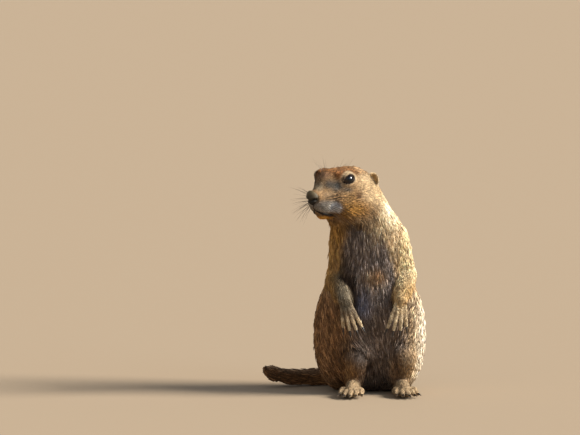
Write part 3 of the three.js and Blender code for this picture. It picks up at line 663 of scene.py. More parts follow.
def rod(line, radii, sides=12):
    """A closed round rod along a line in mm, with rounded ends, as points and faces."""
    line, radii = np.asarray(line, float), np.asarray(radii, float)
    gaps = np.concatenate([[0], np.cumsum(np.linalg.norm(np.diff(line, axis=0), axis=1))])
    at = np.linspace(0, gaps[-1], 16)
    smooth = np.stack([np.interp(at, gaps, line[:, k]) for k in range(3)], 1)
    thick = np.interp(at, gaps, radii)
    ways = unit(np.gradient(smooth, axis=0))
    ends = np.radians([75, 50, 25])
    first = [smooth[0] - ways[0] * thick[0] * math.sin(a) for a in ends]
    last = [smooth[-1] + ways[-1] * thick[-1] * math.sin(a) for a in ends[::-1]]
    smooth = np.concatenate([first, smooth, last])
    thick = np.concatenate([thick[0] * np.cos(ends), thick, thick[-1] * np.cos(ends[::-1])])
    return tube(smooth, thick, sides)


def paw_rods():
    """Palms, fingers, soles and toes as closed rods, thinner than the solids', as (kind, points, faces)."""
    rods = []
    for wrist, lean, side in HANDS.values():
        wrist = np.array(wrist)
        down = np.array([math.sin(lean), -0.1, -math.cos(lean)])
        elbow = np.array(ELBOWS[side > 0])
        rods.append(("forearm", *rod([wrist + unit(elbow - wrist) * 9, wrist, wrist + down * 4], [5.6, 4.9, 3.9])))
        thumb = [wrist + np.array(v) for v in ((-2 * side, 0, -2), (-4.6 * side, 1, -6), (-5.8 * side, 1.4, -10))]
        rods.append(("hand", *rod(thumb, [1.9, 1.6, 0.9])))
    found = fingers()
    for root, knuckle, middle, tip, _ in found:
        rods.append(("hand", *rod([root, knuckle, middle, tip], [2.5, 2.0, 1.65, 1.25])))
    for hand in (found[:4], found[4:]):
        rods.append(("hand", *rod([f[0] * 0.75 + f[1] * 0.25 + np.array([0, 0.6, 0]) for f in hand], [2.5] * 4)))
    for ball_place, ankle, _ in FEET.values():
        ball_place, ankle = np.array(ball_place), np.array(ankle)
        rods.append(("foot", *rod([ankle + np.array([0, 4, -3.6]), ball_place], [6.4, 5.9])))
        rods.append(("foot", *rod([ankle, ball_place], [7.0, 5.0])))
    found = toes()
    for base, middle, tip, _ in found:
        rods.append(("foot", *rod([base + np.array([0, 4, -0.5]), base * 0.3 + middle * 0.7, tip], [2.9, 2.35, 1.5])))
    for foot in (found[:5], found[5:]):
        rods.append(("foot", *rod([f[0] + np.array([0, 3, 0]) for f in foot], [3.9] * 5)))
    return rods


def ear_ways():
    """The left ear's ways across, up and out of its cup, in the head's own directions."""
    out = unit(EAR_FACE)
    up = np.array([-0.18, -0.1, 1.0])
    up = unit(up - out * (up @ out))
    return np.cross(up, out), up, out


def ear_cup(side):
    """One ear as a closed cup with a rounded rim, as points in the row frame in mm and faces."""
    across, up, out = ear_ways()
    angles = np.radians(np.linspace(8, 90, 9))
    profile = [(math.sin(a), -math.cos(a)) for a in angles]
    profile += [(0.97, 0.16), (0.86, 0.2), (0.75, 0.06)]
    profile += [(0.72 * math.sin(a), -0.44 * math.cos(a)) for a in angles[::-1][1:]]
    sides = 32
    points = []
    for reach, deep in profile:
        for j in range(sides):
            t = 2 * math.pi * j / sides
            points.append(
                np.array(EAR_PLACE) + across * EAR_RADII[0] * reach * math.cos(t)
                + up * EAR_RADII[1] * reach * math.sin(t) + out * EAR_RADII[2] * deep
            )
    last = (len(profile) - 1) * sides
    faces = band_faces(len(profile), sides)
    faces += [tuple(range(sides))[::-1], tuple(range(last, last + sides))]
    points = np.array(points) * np.array([1, side, 1])
    return from_head(points), [f[::side] for f in faces]


def flesh_surface():
    """All flesh as points in mm and triangles, each solid swollen a little, and the kind of each triangle."""
    points, faces, owner = [], [], []
    names = sorted(n for n in NODES if not n.startswith("eye"))
    for name in names:
        if kind_of(name) in ("hand", "foot", "ear"):
            continue
        bm = merged_copy(name)
        start = len(points)
        points += [tuple((v.co + v.normal * SWELL * MM) / MM) for v in bm.verts]
        for face in bm.faces:
            faces.append(tuple(start + v.index for v in face.verts))
            owner.append(kind_of(name))
        bm.free()
    for kind, more, more_faces in paw_rods() + [("ear", *ear_cup(side)) for side in (-1, 1)]:
        join_shape(points, faces, [tuple(p) for p in more], more_faces)
        owner += [kind] * len(more_faces)
    return names, points, faces, np.array(owner, dtype=object)


def flow(points, region, normals):
    """The way the hair lies at each point, in the row frame, before it is evened out."""
    head = in_head(points)
    down = np.array([0.0, 0.0, -1.0])
    lie = np.tile(down, (len(points), 1))
    middle = points[:, 0] - BODY_AXIS[0]
    front = step(-points[:, 1], 0, 25)
    lie[:, 0] += 0.25 * np.clip(middle / 25, -1, 1) * front * step(points[:, 2], 105, 135)
    lie[:, 0] += 0.55 * np.clip((19 - middle) / 26, -1, 0.75) * front * step(-points[:, 2], -95, -60)
    from_nose = unit(head - np.array([34.0, 0.0, -15.0]))
    from_nose[:, 2] -= 0.35 * step(-head[:, 0], -4, 20)
    of_head = np.isin(region, HEAD_KINDS)
    lie[of_head] = (from_nose @ HEAD_TURN.T)[of_head]
    lie[region == "ear"] = np.array([-0.35, 0.0, 1.0]) @ HEAD_TURN.T
    is_left = points[:, 0] > BODY_AXIS[0]
    for wrist, lean, side in HANDS.values():
        here = is_left == (side > 0)
        lie[(region == "hand") & here] = (math.sin(lean), -0.12, -math.cos(lean))
        fore = unit(np.array(wrist) - np.array(ELBOWS[side > 0])) * 0.5 + np.array([-0.3 * side, 0, -0.9])
        lie[(region == "forearm") & here] = fore
        lie[(region == "upper_arm") & here] = (-0.05 * side, -0.1, -1.0)
    for name, (_, _, splay) in FEET.items():
        here = is_left == (name == "left")
        turn = math.radians(splay)
        lie[(region == "foot") & here] = (math.sin(turn), -math.cos(turn), -0.15)
        lie[(region == "shank") & here] = (0.0, 0.1, -1.0)
    thigh = region == "thigh"
    lie[thigh] = (0.0, -0.35, -1.0)
    lie[thigh, 0] = -0.45 * np.clip((middle[thigh] - 10) / 20, -0.5, 1)
    tail = np.char.startswith(region.astype(str), "tail")
    if tail.any():
        gaps = np.linalg.norm(points[tail][:, None] - TAIL_LINE[None, :-1], axis=2).argmin(1)
        lie[tail] = unit(TAIL_LINE[gaps + 1] - TAIL_LINE[gaps])
    return unit(lie)


def finger_gap(points):
    """Each point's distance to the middle of the nearest finger."""
    return np.min([line_gap(points, f[:4])[0] for f in fingers()], 0)


def ear_hollow(head, out):
    """How deep each point lies in the hollow of its ear, 0 on the rim and outside, 1 within."""
    across, up, face = ear_ways()
    folded = np.stack([head[:, 0], np.abs(head[:, 1]), head[:, 2]], 1) - np.array(EAR_PLACE)
    turned = out * np.stack([np.ones(len(head)), np.sign(head[:, 1]), np.ones(len(head))], 1)
    reach = np.hypot(folded @ across / EAR_RADII[0], folded @ up / EAR_RADII[1])
    return step(-reach, -0.86, -0.6) * step(turned @ face, 0.1, 0.5)


def markings(points, region, normals, links):
    """Root tone, tip tone and shares of dark ends and pale guard hairs at each point, for skin and coat alike."""
    h = in_head(points)
    hollow = ear_hollow(h, normals @ HEAD_TURN) * (region == "ear")
    h[:, 1] = np.abs(h[:, 1])
    x, y, z = points.T
    front = step(-normals[:, 1], -0.15, 0.5)
    rear = step(normals[:, 1], -0.2, 0.6)
    patchy = waves(points, 14, 3)
    tone = np.tile(FLANK_BROWN, (len(points), 1))

    def lay(colour, amount):
        nonlocal tone
        amount = np.clip(amount, 0, 1)[:, None]
        tone = tone * (1 - amount) + np.array(colour) * amount

    def dab(colour, centre, radii, soft, amount):
        """Lays a tone on a soft spot of the head, on both sides alike."""
        lay(colour, crown * spot(h, centre, radii, soft) * amount)

    def near(kinds, rounds=60):
        """How close each point lies to solids of these kinds, 0 far off and 0.5 at their edge."""
        return links.evened(np.isin(region, kinds).astype(float), rounds)

    trunk = np.isin(region, ["chest", "abdomen", "neck"])
    arm = near(["upper_arm", "forearm"], 8)
    hand, shank, fore = region == "hand", region == "shank", region == "forearm"
    # Trunk: grizzled buff back, pale right-hand shoulder and flank edge, part pale coat and part painted sunlight, dark
    # grey-brown chest and belly, part dark fur and part painted shade.
    lay(BUFF, rear * step(z, 20, 90))
    lay(PALE_BUFF, step(z, 88, 116) * 0.85)
    # The +x flank and shoulder paler: part pale coat, part painted sunlight; SUNLIT at the flank's low edge is painted
    # sunlight.
    lay(PALE_BUFF, step(x, 52, 68) * 0.75)
    lay(SUNLIT, step(x, 62, 74) * step(z, 10, 30) * 0.85)
    lay(CREAM, step(x, 26, 44) * step(z, 96, 130) * 0.75 * (1 - 0.7 * rear))
    lay(BUFF, step(patchy, -0.1, 0.9) * 0.4)
    lay(GOLD, step(z, 100, 120) * step(-x, -8, 6) * 0.6)
    # The dark front of chest and belly: part dark grey-brown fur, part painted shade.
    levels = [80, 94, 100, 106, 112, 125, 138, 145, 153]
    left = np.interp(z, levels, [2, 7, 3, -1, -3, -2.6, -1.4, 1.0, 2.0])
    right = np.interp(z, levels, [46, 45, 45, 44.5, 44, 41.5, 37, 33.5, 31])
    wide = step(x - left, -6.0, 4.5) * step(right - x, -3.5, 2.5) * step(-z, -157, -152) * step(z, 70, 92)
    low = step(-z, -92, -70) * step(x, -8, 10) * step(-x, -66, -46)
    inner = front * np.clip(wide + low * 0.75, 0, 1) * trunk
    lay(GREY_BROWN, inner)
    lay(BUFF, inner * spot(points, (27, -22, 110), (13, 20, 10), 0.9) * 0.6)
    lay(TAWNY, inner * spot(points, (30, -22, 113), (7, 20, 5), 0.9) * 0.7)
    # Painted bluish shade, as from the sky, low on the belly.
    lay(BLUE_GREY_SHADE, inner * spot(points, (15, -25, 86), (10, 20, 15), 0.9) * 0.8)
    # Painted shade in the creases: between arms and chest, over the knees and under the jaw, and in the gap between arm
    # and belly.
    armpit_shade = near(["upper_arm", "forearm"]) * 3.2 * step(z, 62, 80) * step(-z, -146, -128) * step(-x, -49, -45)
    lay(DARK, trunk * front * armpit_shade * 0.95)
    over_knee_shade = near(["shank"]) * 2.6 * step(z, 12, 20) * step(-x, -38, -30)
    lay(DARK, np.isin(region, ["abdomen", "thigh"]) * front * over_knee_shade * 0.9)
    lay(DARK, trunk * near(["head", "lower_jaw"], 100) * 2.6 * front * step(x, -6, 3) * step(-x, -44, -34) * 0.8)
    lay(DARK, trunk * front * spot(points, (4, -16, 101), (9, 40, 19), 0.6) * 0.95)
    lay(DARK, trunk * front * spot(points, (9, -20, 90), (6, 40, 14), 0.9) * 0.7)
    # Limbs: their own tones, with the +x side paler as painted sunlight and the -x side darker as painted shade.
    lay(CREAM, arm * 0.85)
    # Gold on the -x arm and olive on its forearm: part own tone, part painted shade; the pale +x arm is part painted
    # sunlight.
    lay(GOLD, (region == "upper_arm") * step(-x, -20, 10) * 0.75)
    lay((0.70, 0.54, 0.32), arm * step(x, 44, 52) * 0.7)
    lay(GOLD, arm * step(x, 30, 46) * (0.1 + 0.35 * step(-z, -112, -92)))
    lay(BUFF, arm * step(patchy, 0.2, 1.0) * 0.35)
    lay(OLIVE_SHADE, fore * step(-x, -20, -4) * 0.85)
    lay(GOLD, fore * step(-x, 3, 12) * 0.6)
    lay(GOLD, fore * step(x, 50, 60) * step(-z, -106, -96) * 0.45)
    lay(PALE_BUFF, hand * 0.95)
    # The +x hand paler as painted sunlight and the -x hand darker at the wrist as painted shade.
    lay((0.66, 0.51, 0.32), hand * step(x, 24, 36) * 0.8)
    lay((0.19, 0.155, 0.11), hand * step(-x, -24, -12) * step(z, 68, 77) * 0.75)
    lay((0.62, 0.49, 0.32), hand * step(-z, -76, -66) * 0.7)
    # Painted shade in the gaps between the fingers.
    gap = finger_gap(points)
    lay(UMBER, hand * step(gap, 1.5, 2.3) * step(-z, -80, -75) * step(z, 58, 61) * 0.9)
    thigh = near(["thigh"], 30)
    # The -x thigh tawny, part own tone and part painted shade; the +x thigh paler, part pale coat and part painted
    # sunlight, with SUNLIT as painted sunlight on its edge.
    lay(TAWNY, thigh * step(-x, -20, 0) * 0.5)
    lay(GREY_BROWN, thigh * step(x, 30, 40) * step(-x, -64, -54) * 0.6)
    lay(PALE_BUFF, thigh * step(x, 52, 66) * 0.6)
    lay(SUNLIT, thigh * step(x, 60, 71) * 0.8)
    lay(FLANK_BROWN, shank * 1.0)
    # The +x shank paler: part pale coat, part painted sunlight.
    lay(PALE_BUFF, shank * step(x, 46, 58) * 0.6)
    lay(GREY_BROWN, shank * spot(points, (14, -28, 36), (9, 20, 10), 0.9) * 0.9)
    lay((0.40, 0.23, 0.10), shank * spot(points, (4, -24, 22), (9, 24, 14), 0.9) * 0.85)
    lay(PALE_BUFF, (region == "foot") * 0.8)
    # Painted shade along the crease over the -x knee and in a fold of the +x leg.
    flat = points * np.array([1, 0, 1])
    knee, _ = line_gap(flat, [(-3, 0, 43), (5, 0, 46), (14, 0, 43), (21, 0, 36), (26, 0, 22)])
    fold, _ = line_gap(flat, [(48, 0, 48), (45.5, 0, 40), (46, 0, 30)])
    lay(DARK, front * (step(-knee, -3.0, -0.8) * 0.9 + step(-fold, -2.4, -0.6) * 0.6) * step(-z, -52, -46))
    # Tail: brown, darkening to the end.
    tail = np.char.startswith(region.astype(str), "tail")
    lay(TAWNY, tail * 0.85)
    lay(UMBER, tail * (0.3 + 0.6 * step(-x, 5, 40)))
    lay(FLANK_BROWN, tail * step(normals[:, 2], 0.1, 0.8) * 0.7)
    # Neck and head.
    crown = near([*HEAD_KINDS, "ear"], 50)
    neck = near(["neck"], 50)
    # The +x side of the neck pale, part pale coat and part painted sunlight; the -x side gold, part own tone and part
    # painted shade.
    lay(PALE_BUFF, neck * step(x, 14, 26) * 0.8)
    lay(CREAM, neck * step(x, 20, 34) * front * 0.9)
    lay(GOLD, neck * step(-x, -24, 0) * (1 - inner) * 0.6)
    lay((0.27, 0.165, 0.08), crown * 1.0)
    flecks = step(waves(points, 3.4, 8) + 0.6 * waves(points, 1.9, 9), 0.1, 1.1)
    top = crown * step(h[:, 2], 1.5, 6.5)
    lay((0.18, 0.078, 0.022), top * (0.7 + 0.25 * step(h[:, 0], -14, -2)))
    lay((0.10, 0.038, 0.013), top * (0.25 + 0.75 * flecks) * step(h[:, 0], -18, -6) * 0.85)
    # Pale fur on the back of the crown, behind the eye, on the temple and at the back of the cheek: part own tone, part
    # painted sunlight.
    dab(PALE_BUFF, (-21, 9, 6), (8, 12, 6), 0.9, 0.5)
    behind = step(-h[:, 0], 0, 13) * step(-h[:, 2], -6, -1) * step(h[:, 2], -27, -16)
    lay((0.49, 0.35, 0.20), crown * behind * 0.85)
    dab(CREAM, (-17, 20, 0.5), (9, 8, 6), 0.8, 0.6)
    dab((0.30, 0.145, 0.026), (0, 18, -26), (20, 16, 11), 0.8, 0.9)
    dab(CREAM, (-22, 24, -13), (13, 12, 13), 0.9, 0.7)
    dab((0.24, 0.135, 0.045), (3, 20, -15), (10, 8, 6), 0.9, 0.6)
    dab(RUST, (9.3, 12.5, 4.2), (7.5, 6, 5.2), 0.8, 0.95)
    dab(UMBER, (8.5, 11.5, 5.5), (5, 5, 3.4), 0.9, flecks * 0.9)
    dab((0.21, 0.115, 0.065), (16, 2, 3), (8, 6, 4), 0.8, 0.9)
    dab((0.38, 0.30, 0.20), (23, 2, -5.5), (5, 5, 5), 0.9, 0.9)
    # Painted shade on the shaded side of the muzzle, over its dark fur.
    dab(SLATE_SHADE, (17.5, 8.2, -3.8), (5.2, 4.6, 5.0), 0.8, 0.9)
    dab(SLATE_SHADE, (12.5, 12.4, -5.8), (6.6, 7, 6.2), 0.8, 1.0)
    dab(SLATE_SHADE, (5.5, 18, -9.0), (5.4, 5.4, 3.4), 0.8, 0.8)
    dab((0.36, 0.26, 0.16), (19, 9, -12.5), (7, 6, 4), 0.9, 0.6)
    # Whisker pad: its front grey-brown, part own tone and part painted shade.
    dab((0.31, 0.285, 0.25), (21, 7, -22.5), (13, 12, 6.5), 0.5, 0.9)
    dots = step(waves(h, 2.6, 12) + 0.5 * waves(h, 1.5, 13), 0.2, 0.9)
    dab(UMBER, (18, 10, -15), (9, 7, 6.5), 0.8, dots * 0.9)
    dab(PALE_GREY, (15.5, 11.4, -23.6), (5.5, 6, 6), 0.8, 0.8)
    # White fur of the pad with a painted blue tint of skylight.
    lay((0.82, 0.84, 0.90), crown * spot(h, (13.9, 12.5, -24.4), (5.3, 5.6, 5.6), 0.65))
    lay(UMBER, (region == "nose") * 0.75)
    dab(UMBER, (-3.7, 23.8, -14.2), (5.4, 6, 4.2), 0.9, 0.95)
    ring = np.linalg.norm((h - np.array(EYE_PLACE)) / np.array([1.15, 1, 1]), axis=1)
    over = step(h[:, 2] - 0.25 * h[:, 0], -3, 3)
    lay(CREAM, crown * step(ring, 6.4, 7.0) * step(-ring, -8.1, -7.3) * (0.2 + 0.6 * over))
    lay(DARK, crown * step(-ring, -7.5, -6.5) * 0.9)
    dab(DARK, (8.6, 14.6, -3.2), (2.6, 3.4, 1.5), 0.9, 0.8)
    lay((0.80, 0.36, 0.05), (region == "lower_jaw") * 0.9)
    # Painted sunlight on the +x side of the nape, over pale coat.
    nape_sunlight = np.clip(crown + neck, 0, 1) * spot(points, (39, -3, 167), (13, 22, 17), 0.9)
    lay((0.78, 0.63, 0.42), nape_sunlight * 0.85)
    # A dark line along the mouth: the lips' dark edge and painted shade of the mouth's gap.
    turn = np.degrees(np.arctan2(h[:, 1], h[:, 0] - 6))
    mouth = np.abs(h[:, 2] - np.interp(turn, *MOUTH_LINE) + 0.3)
    lay(DARK, crown * step(-mouth, -1.9, -0.7) * step(turn, 10, 18) * step(-turn, -64, -52))
    lay(CREAM, (region == "ear") * (0.85 - 0.85 * hollow))
    lay((0.50, 0.30, 0.11), hollow * 0.9)
    # Painted shade of the ear's opening, as a dark spot low in the hollow.
    slit = (h - np.array(EAR_PLACE)) @ np.stack(ear_ways()[:2], 1)
    lay(UMBER, hollow * step(-np.hypot((slit[:, 0] + 1.5) / 2.6, (slit[:, 1] + 1.8) / 3.8), -1.35, -0.75))
    tone = tone * (1 + 0.10 * waves(points, 9, 5) + 0.06 * waves(points, 4, 6))[:, None]
    pale = step(tone[:, 0], 0.38, 0.6)
    root = tone * (0.62 - 0.3 * inner + 0.1 * pale)[:, None]
    tip = tone * (1.14 + 0.3 * inner)[:, None]
    grizzle = 0.45 * np.ones(len(points))
    grizzle += 0.35 * (crown * step(h[:, 2], -4, 8)) - 0.25 * arm - 0.35 * hand
    grizzle += 0.25 * rear - 0.1 * inner + 0.2 * thigh - 0.2 * pale
    frost = 0.35 + 0.75 * inner + 0.2 * thigh - 0.35 * pale
    return root, tip, np.clip(grizzle, 0, 1), np.clip(frost, 0, 2)


def eye_gap(head):
    """Distance from the nearer eye's centre, for points in the head's own directions."""
    folded = np.stack([head[:, 0], np.abs(head[:, 1]), head[:, 2]], 1)
    return np.linalg.norm(folded - np.array(EYE_PLACE), axis=1)


def leather_front(head):
    """How far forward points lie for the edge of the nose leather, which steps forward at the lip and on top."""
    return head[:, 0] - 0.3 * np.clip(-17 - head[:, 2], 0, 5) - 0.75 * np.clip(head[:, 2] + 12.5, 0, 6)


def nose_gap(head):
    """How far points are from the middle of the nose, as a share of its size."""
    return np.linalg.norm((head - np.array(NOSE_PLACE)) / np.array(NOSE_RADII), axis=1)


def thinned(mesh, most):
    """The mesh with its flatter places collapsed until it has no more than the given number of triangles."""
    count = len(mesh.loops) - 2 * len(mesh.polygons)
    obj = in_scene("thinned", mesh)
    fewer = obj.modifiers.new("Thin", "DECIMATE")
    fewer.ratio = min(1.0, most / count)
    return baked_mesh(obj, mesh.name)


def build_skin():
    """One skin over all flesh, a little inside the solids, with the coat's directions, sizes and markings on it."""
    look = bpy.context.scene.prairie_skin
    names, points, faces, owner = flesh_surface()
    rough = in_scene("rough_flesh", mesh_from("rough_flesh", points, faces, smooth=False))
    remesh = rough.modifiers.new("Remesh", "REMESH")
    remesh.mode = "VOXEL"
    remesh.voxel_size = look.cell
    mesh = baked_mesh(rough, "skin")
    keep = Links(mesh).largest()
    bm = bmesh.new()
    bm.from_mesh(mesh)
    bm.verts.ensure_lookup_table()
    bmesh.ops.delete(bm, geom=[bm.verts[i] for i in np.flatnonzero(~keep)], context="VERTS")
    bm.to_mesh(mesh)
    bm.free()

    links = Links(mesh)
    here = points_of(mesh)
    tree = BVHTree.FromPolygons([Vector(p) for p in points], faces)

    def kinds_at(places):
        """The kind of solid nearest to each place, and its row of COAT_FORM."""
        region = owner[np.array([tree.find_nearest(Vector(p))[2] for p in places])]
        return region, np.array([COAT_FORM[r] for r in region], float)

    rounding = kinds_at(here)[1][:, 5]
    for wrist, _, _ in HANDS.values():
        rounding = np.maximum(rounding, 0.55 * spot(here, wrist, (8, 8, 7), 0.8))
    rounding = links.evened(rounding, 6)
    here = links.evened(here, look.rounding_rounds, 0.5 * rounding)
    put_points(mesh, here)
    mesh = thinned(mesh, look.most_faces)
    links = Links(mesh)
    here = points_of(mesh)
    region, form = kinds_at(here)
    head = in_head(here)
    eye = eye_gap(head)
    muzzle = step(head[:, 0], 6, 24) * np.isin(region, HEAD_KINDS)
    depth = links.evened(form[:, 4] * (1 - 0.55 * muzzle), 10)
    depth = depth * (0.2 + 0.8 * step(eye, 8.5, 13)) + SWELL * ~np.isin(region, ["hand", "foot"])
    leather = step(leather_front(head), 27.2, 29.2) * step(-nose_gap(head), -1.3, -1.12)
    here = here - normals_of(mesh) * (depth + 2.6 * leather)[:, None]
    chin = spot(head, (19, 0, -29), (13, 13, 7), 0.9) * step(-head[:, 2], 22, 27)
    here += chin[:, None] * (np.array([0.9, 0.0, -2.5]) @ HEAD_TURN.T)
    here[:, 2] = np.maximum(here[:, 2], 0.35)
    put_points(mesh, here)
    shade_smooth(mesh)
    mesh.update()

    here, out = points_of(mesh), normals_of(mesh)
    lie = links.evened(flow(here, region, out), 22)
    lie -= out * (lie * out).sum(1)[:, None]
    root, tip, grizzle, frost = markings(here, region, out, links)
    root, tip = links.evened(root, 2), links.evened(tip, 2)
    hollow = ear_hollow(in_head(here), out @ HEAD_TURN) * (region == "ear")
    length = links.evened(form[:, 0] * (1 - 0.6 * muzzle), 24)
    width = links.evened(form[:, 1] * (1 - 0.35 * muzzle), 24)
    lift = links.evened(form[:, 2] * (1 - 0.5 * muzzle), 24)
    amount = links.evened(form[:, 3] * (1 + 0.7 * muzzle), 4)
    amount *= step(eye, 6.7, 7.5)
    amount *= 1 - leather
    amount *= step(here[:, 2], 0.6, 1.6)
    length *= (0.35 + 0.65 * step(eye, 7, 13)) * (1 - 0.4 * hollow)
    width *= 0.6 + 0.4 * step(eye, 7, 12)
    mesh["peak_amount"] = float(amount.max())
    put_values(
        mesh, lie=unit(lie), outward=out, length=length, width=width, lift=lift, amount=amount,
        grizzle=grizzle, frost=frost, root_tone=tones(root), tip_tone=tones(tip),
    )

    piece = list(COAT_PIECES)
    lookup = {kind: piece.index(p) for p, (kinds, *_) in COAT_PIECES.items() for kind in kinds}
    of_vertex = np.array([lookup[r] for r in region])
    of_vertex[(head[:, 0] > -6) & np.isin(region, HEAD_KINDS)] = lookup["face"]
    corners = np.empty(len(mesh.loops), np.int64)
    mesh.loops.foreach_get("vertex_index", corners)
    first = np.empty(len(mesh.polygons), np.int64)
    mesh.polygons.foreach_get("loop_start", first)
    layer = mesh.attributes.new("coat_piece", "INT", "FACE")
    layer.data.foreach_set("value", of_vertex[corners[first]].astype(np.int32))

    obj = new_piece("skin", mesh, skin_material(), "coat", *[n for n in names if n != "nose"])
    unwrap(obj)
    return obj


def unwrap(obj):
    """Lays the skin out flat on a map named OFBake."""
    obj.data.uv_layers.new(name="OFBake")
    view = bpy.context.view_layer
    for other in view.objects:
        other.select_set(False)
    obj.select_set(True)
    view.objects.active = obj
    bpy.ops.object.mode_set(mode="EDIT")
    bpy.ops.mesh.select_all(action="SELECT")
    bpy.ops.uv.smart_project(angle_limit=math.radians(66), island_margin=0.002)
    bpy.ops.object.mode_set(mode="OBJECT")


# The coat.


def lock_shapes():
    """Lock meshes one unit long and wide, lying flat along x, with their place on the lock held as values."""
    made = bpy.data.collections.new("Lock shapes")
    bpy.context.scene.collection.children.link(made)
    for index, bend in enumerate((-0.5, -0.1, 0.3, 0.7)):
        rows = []  # point, place across the lock, height over the skin and place along the lock
        for at, half, base, thick in ((0.0, 0.38, -0.45, 0.3), (0.42, 0.5, 0.45, 0.5)):
            for side, up in ((-1, 0), (0, 1), (1, 0)):
                rows.append(((at, side * half + bend * at * at, 0), 0.5 + 0.5 * side, base + up * thick, at))
        rows.append(((1.0, bend, 0), 0.5, 1.0, 1.0))
        points, across, height, along = zip(*rows)
        faces = [(0, 1, 2)]
        for a, b in ring_pairs(3):
            faces += [(a, a + 3, b + 3, b), (a + 3, 6, b + 3)]
        mesh = mesh_from(f"lock_{index}", points, faces, scale=1)
        patch = np.stack([np.array(along) - 0.5, np.array(across) - 0.5, np.zeros(len(along))], 1)
        put_values(mesh, along=along, across=across, height=height, patch=patch)
        made.objects.link(bpy.data.objects.new(mesh.name, mesh))
    return made


def coat_tree():
    """Geometry Nodes that set locks on the skin along its lie, bend them to it and put them in one mesh."""
    tree, n, given, end = new_tree(
        "Coat Locks", "GeometryNodeTree",
        [
            ("Skin", "Geometry", None), ("Lock Shapes", "Collection", None), ("Coat Piece", "Int", 0),
            ("Peak Density", "Float", 2e6), ("Spacing", "Float", 0.0004), ("Length Factor", "Float", 1.0),
            ("Width Factor", "Float", 1.0), ("Lift Factor", "Float", 1.0), ("Stray Angle", "Float", 0.2),
            ("Swirl Angle", "Float", 0.3), ("Swirl Size", "Float", 0.012), ("Clump Size", "Float", 0.004),
            ("Clump Pull", "Float", 0.6), ("Streak Size", "Float", 0.0015), ("Streak Stretch", "Float", 1.0),
            ("Seed", "Int", 7), ("Coat Material", "Material", None),
        ],
        [("Coat", "Geometry")],
    )

    def scatter(low, high, salt, kind="FLOAT"):
        return n.random(low, high, n.plus(given["Seed"], float(salt)), kind)

    def more(by, share):
        """A factor of 1 and a share of a value."""
        return n.plus(1.0, n.times(by, share))

    # Roots, spread over this piece of the skin.
    same = n.add("FunctionNodeCompare", data_type="INT", operation="EQUAL")
    for socket, value in zip([s for s in same.inputs if s.enabled], (n.named("coat_piece", "INT"), given["Coat Piece"])):
        n.feed(socket, value)
    points = n.out(
        "GeometryNodeDistributePointsOnFaces",
        {"Mesh": given["Skin"], "Selection": same.outputs[0], "Distance Min": given["Spacing"],
         "Density Max": given["Peak Density"], "Density Factor": n.named("amount"), "Seed": given["Seed"]},
        distribute_method="POISSON",
    )
    out = n.out("ShaderNodeVectorMath", {0: n.named("outward", "FLOAT_VECTOR")}, operation="NORMALIZE")
    points = n.store(points, "root_place", n.named("OFBake", "FLOAT_VECTOR"), "FLOAT_VECTOR")
    points = n.store(points, "pick", scatter(0, 1, 1))
    # Locks of one clump run together towards its tip, and those of one streak share a shade.
    place = n.out("GeometryNodeInputPosition")
    clump = n.add("ShaderNodeTexVoronoi", {"Vector": place, "Scale": n.math("DIVIDE", 1.0, given["Clump Size"])})
    stretched = n.vector("MULTIPLY", place, n.combined(1.0, 1.0, given["Streak Stretch"]))
    streak = n.add("ShaderNodeTexVoronoi", {"Vector": stretched, "Scale": n.math("DIVIDE", 1.0, given["Streak Size"])})
    points = n.store(points, "clump", n.out("ShaderNodeSeparateXYZ", {0: streak.outputs["Color"]}))
    stray = n.above(n.named("pick"), STRAY_FROM)
    guard = n.times(n.minus(n.above(n.named("pick"), GUARD_FROM), stray), n.ramp(n.named("length"), 3.5, 7.0))
    rise = n.times(
        n.named("lift"), given["Lift Factor"], scatter(0.6, 1.5, 2),
        n.minus(1.2, n.times(clump.outputs["Distance"], 0.6)), more(guard, 0.35), more(stray, 1.1), MM,
    )
    points = n.store(points, "rise", rise)
    length = n.times(n.named("length"), MM, given["Length Factor"])
    along = n.scaled(n.named("lie", "FLOAT_VECTOR"), length)
    to_tip = n.vector("ADD", n.vector("SUBTRACT", clump.outputs["Position"], place), along)
    pulled = n.add("ShaderNodeMix", {"Factor": given["Clump Pull"], 4: along, 5: to_tip}, data_type="VECTOR")
    # Each lock turns a little on its own and more with its neighbours.
    swirls = {"Vector": place, "Scale": n.math("DIVIDE", 1.0, given["Swirl Size"]), "Detail": 1.0}
    field = n.add("ShaderNodeTexNoise", swirls).outputs["Fac"]
    swing = n.times(n.minus(field, 0.5), n.times(given["Swirl Angle"], 4.0))
    swing = n.plus(swing, n.times(scatter(-1, 1, 3), given["Stray Angle"]))
    turned = n.out(
        "ShaderNodeVectorRotate", {"Vector": pulled.outputs[1], "Axis": out, "Angle": swing}, rotation_type="AXIS_ANGLE"
    )
    facing = n.out(
        "FunctionNodeAxesToRotation", {"Primary Axis": out, "Secondary Axis": turned},
        primary_axis="Z", secondary_axis="X",
    )
    width = n.times(n.named("width"), scatter(0.7 * MM, 1.3 * MM, 5), given["Width Factor"], more(guard, 0.35))
    size = n.combined(
        n.times(length, scatter(0.7, 1.25, 4), more(guard, 0.4)),
        n.times(width, n.minus(1.0, n.times(stray, 0.45))),
        MM,
    )
    shapes = n.out(
        "GeometryNodeCollectionInfo",
        {"Collection": given["Lock Shapes"], "Separate Children": True, "Reset Children": True},
    )
    placed = n.out(
        "GeometryNodeInstanceOnPoints",
        {"Points": points, "Instance": shapes, "Pick Instance": True, "Instance Index": scatter(0, 3, 6, "INT"),
         "Rotation": facing, "Scale": size},
    )
    real = n.out("GeometryNodeRealizeInstances", {"Geometry": placed})
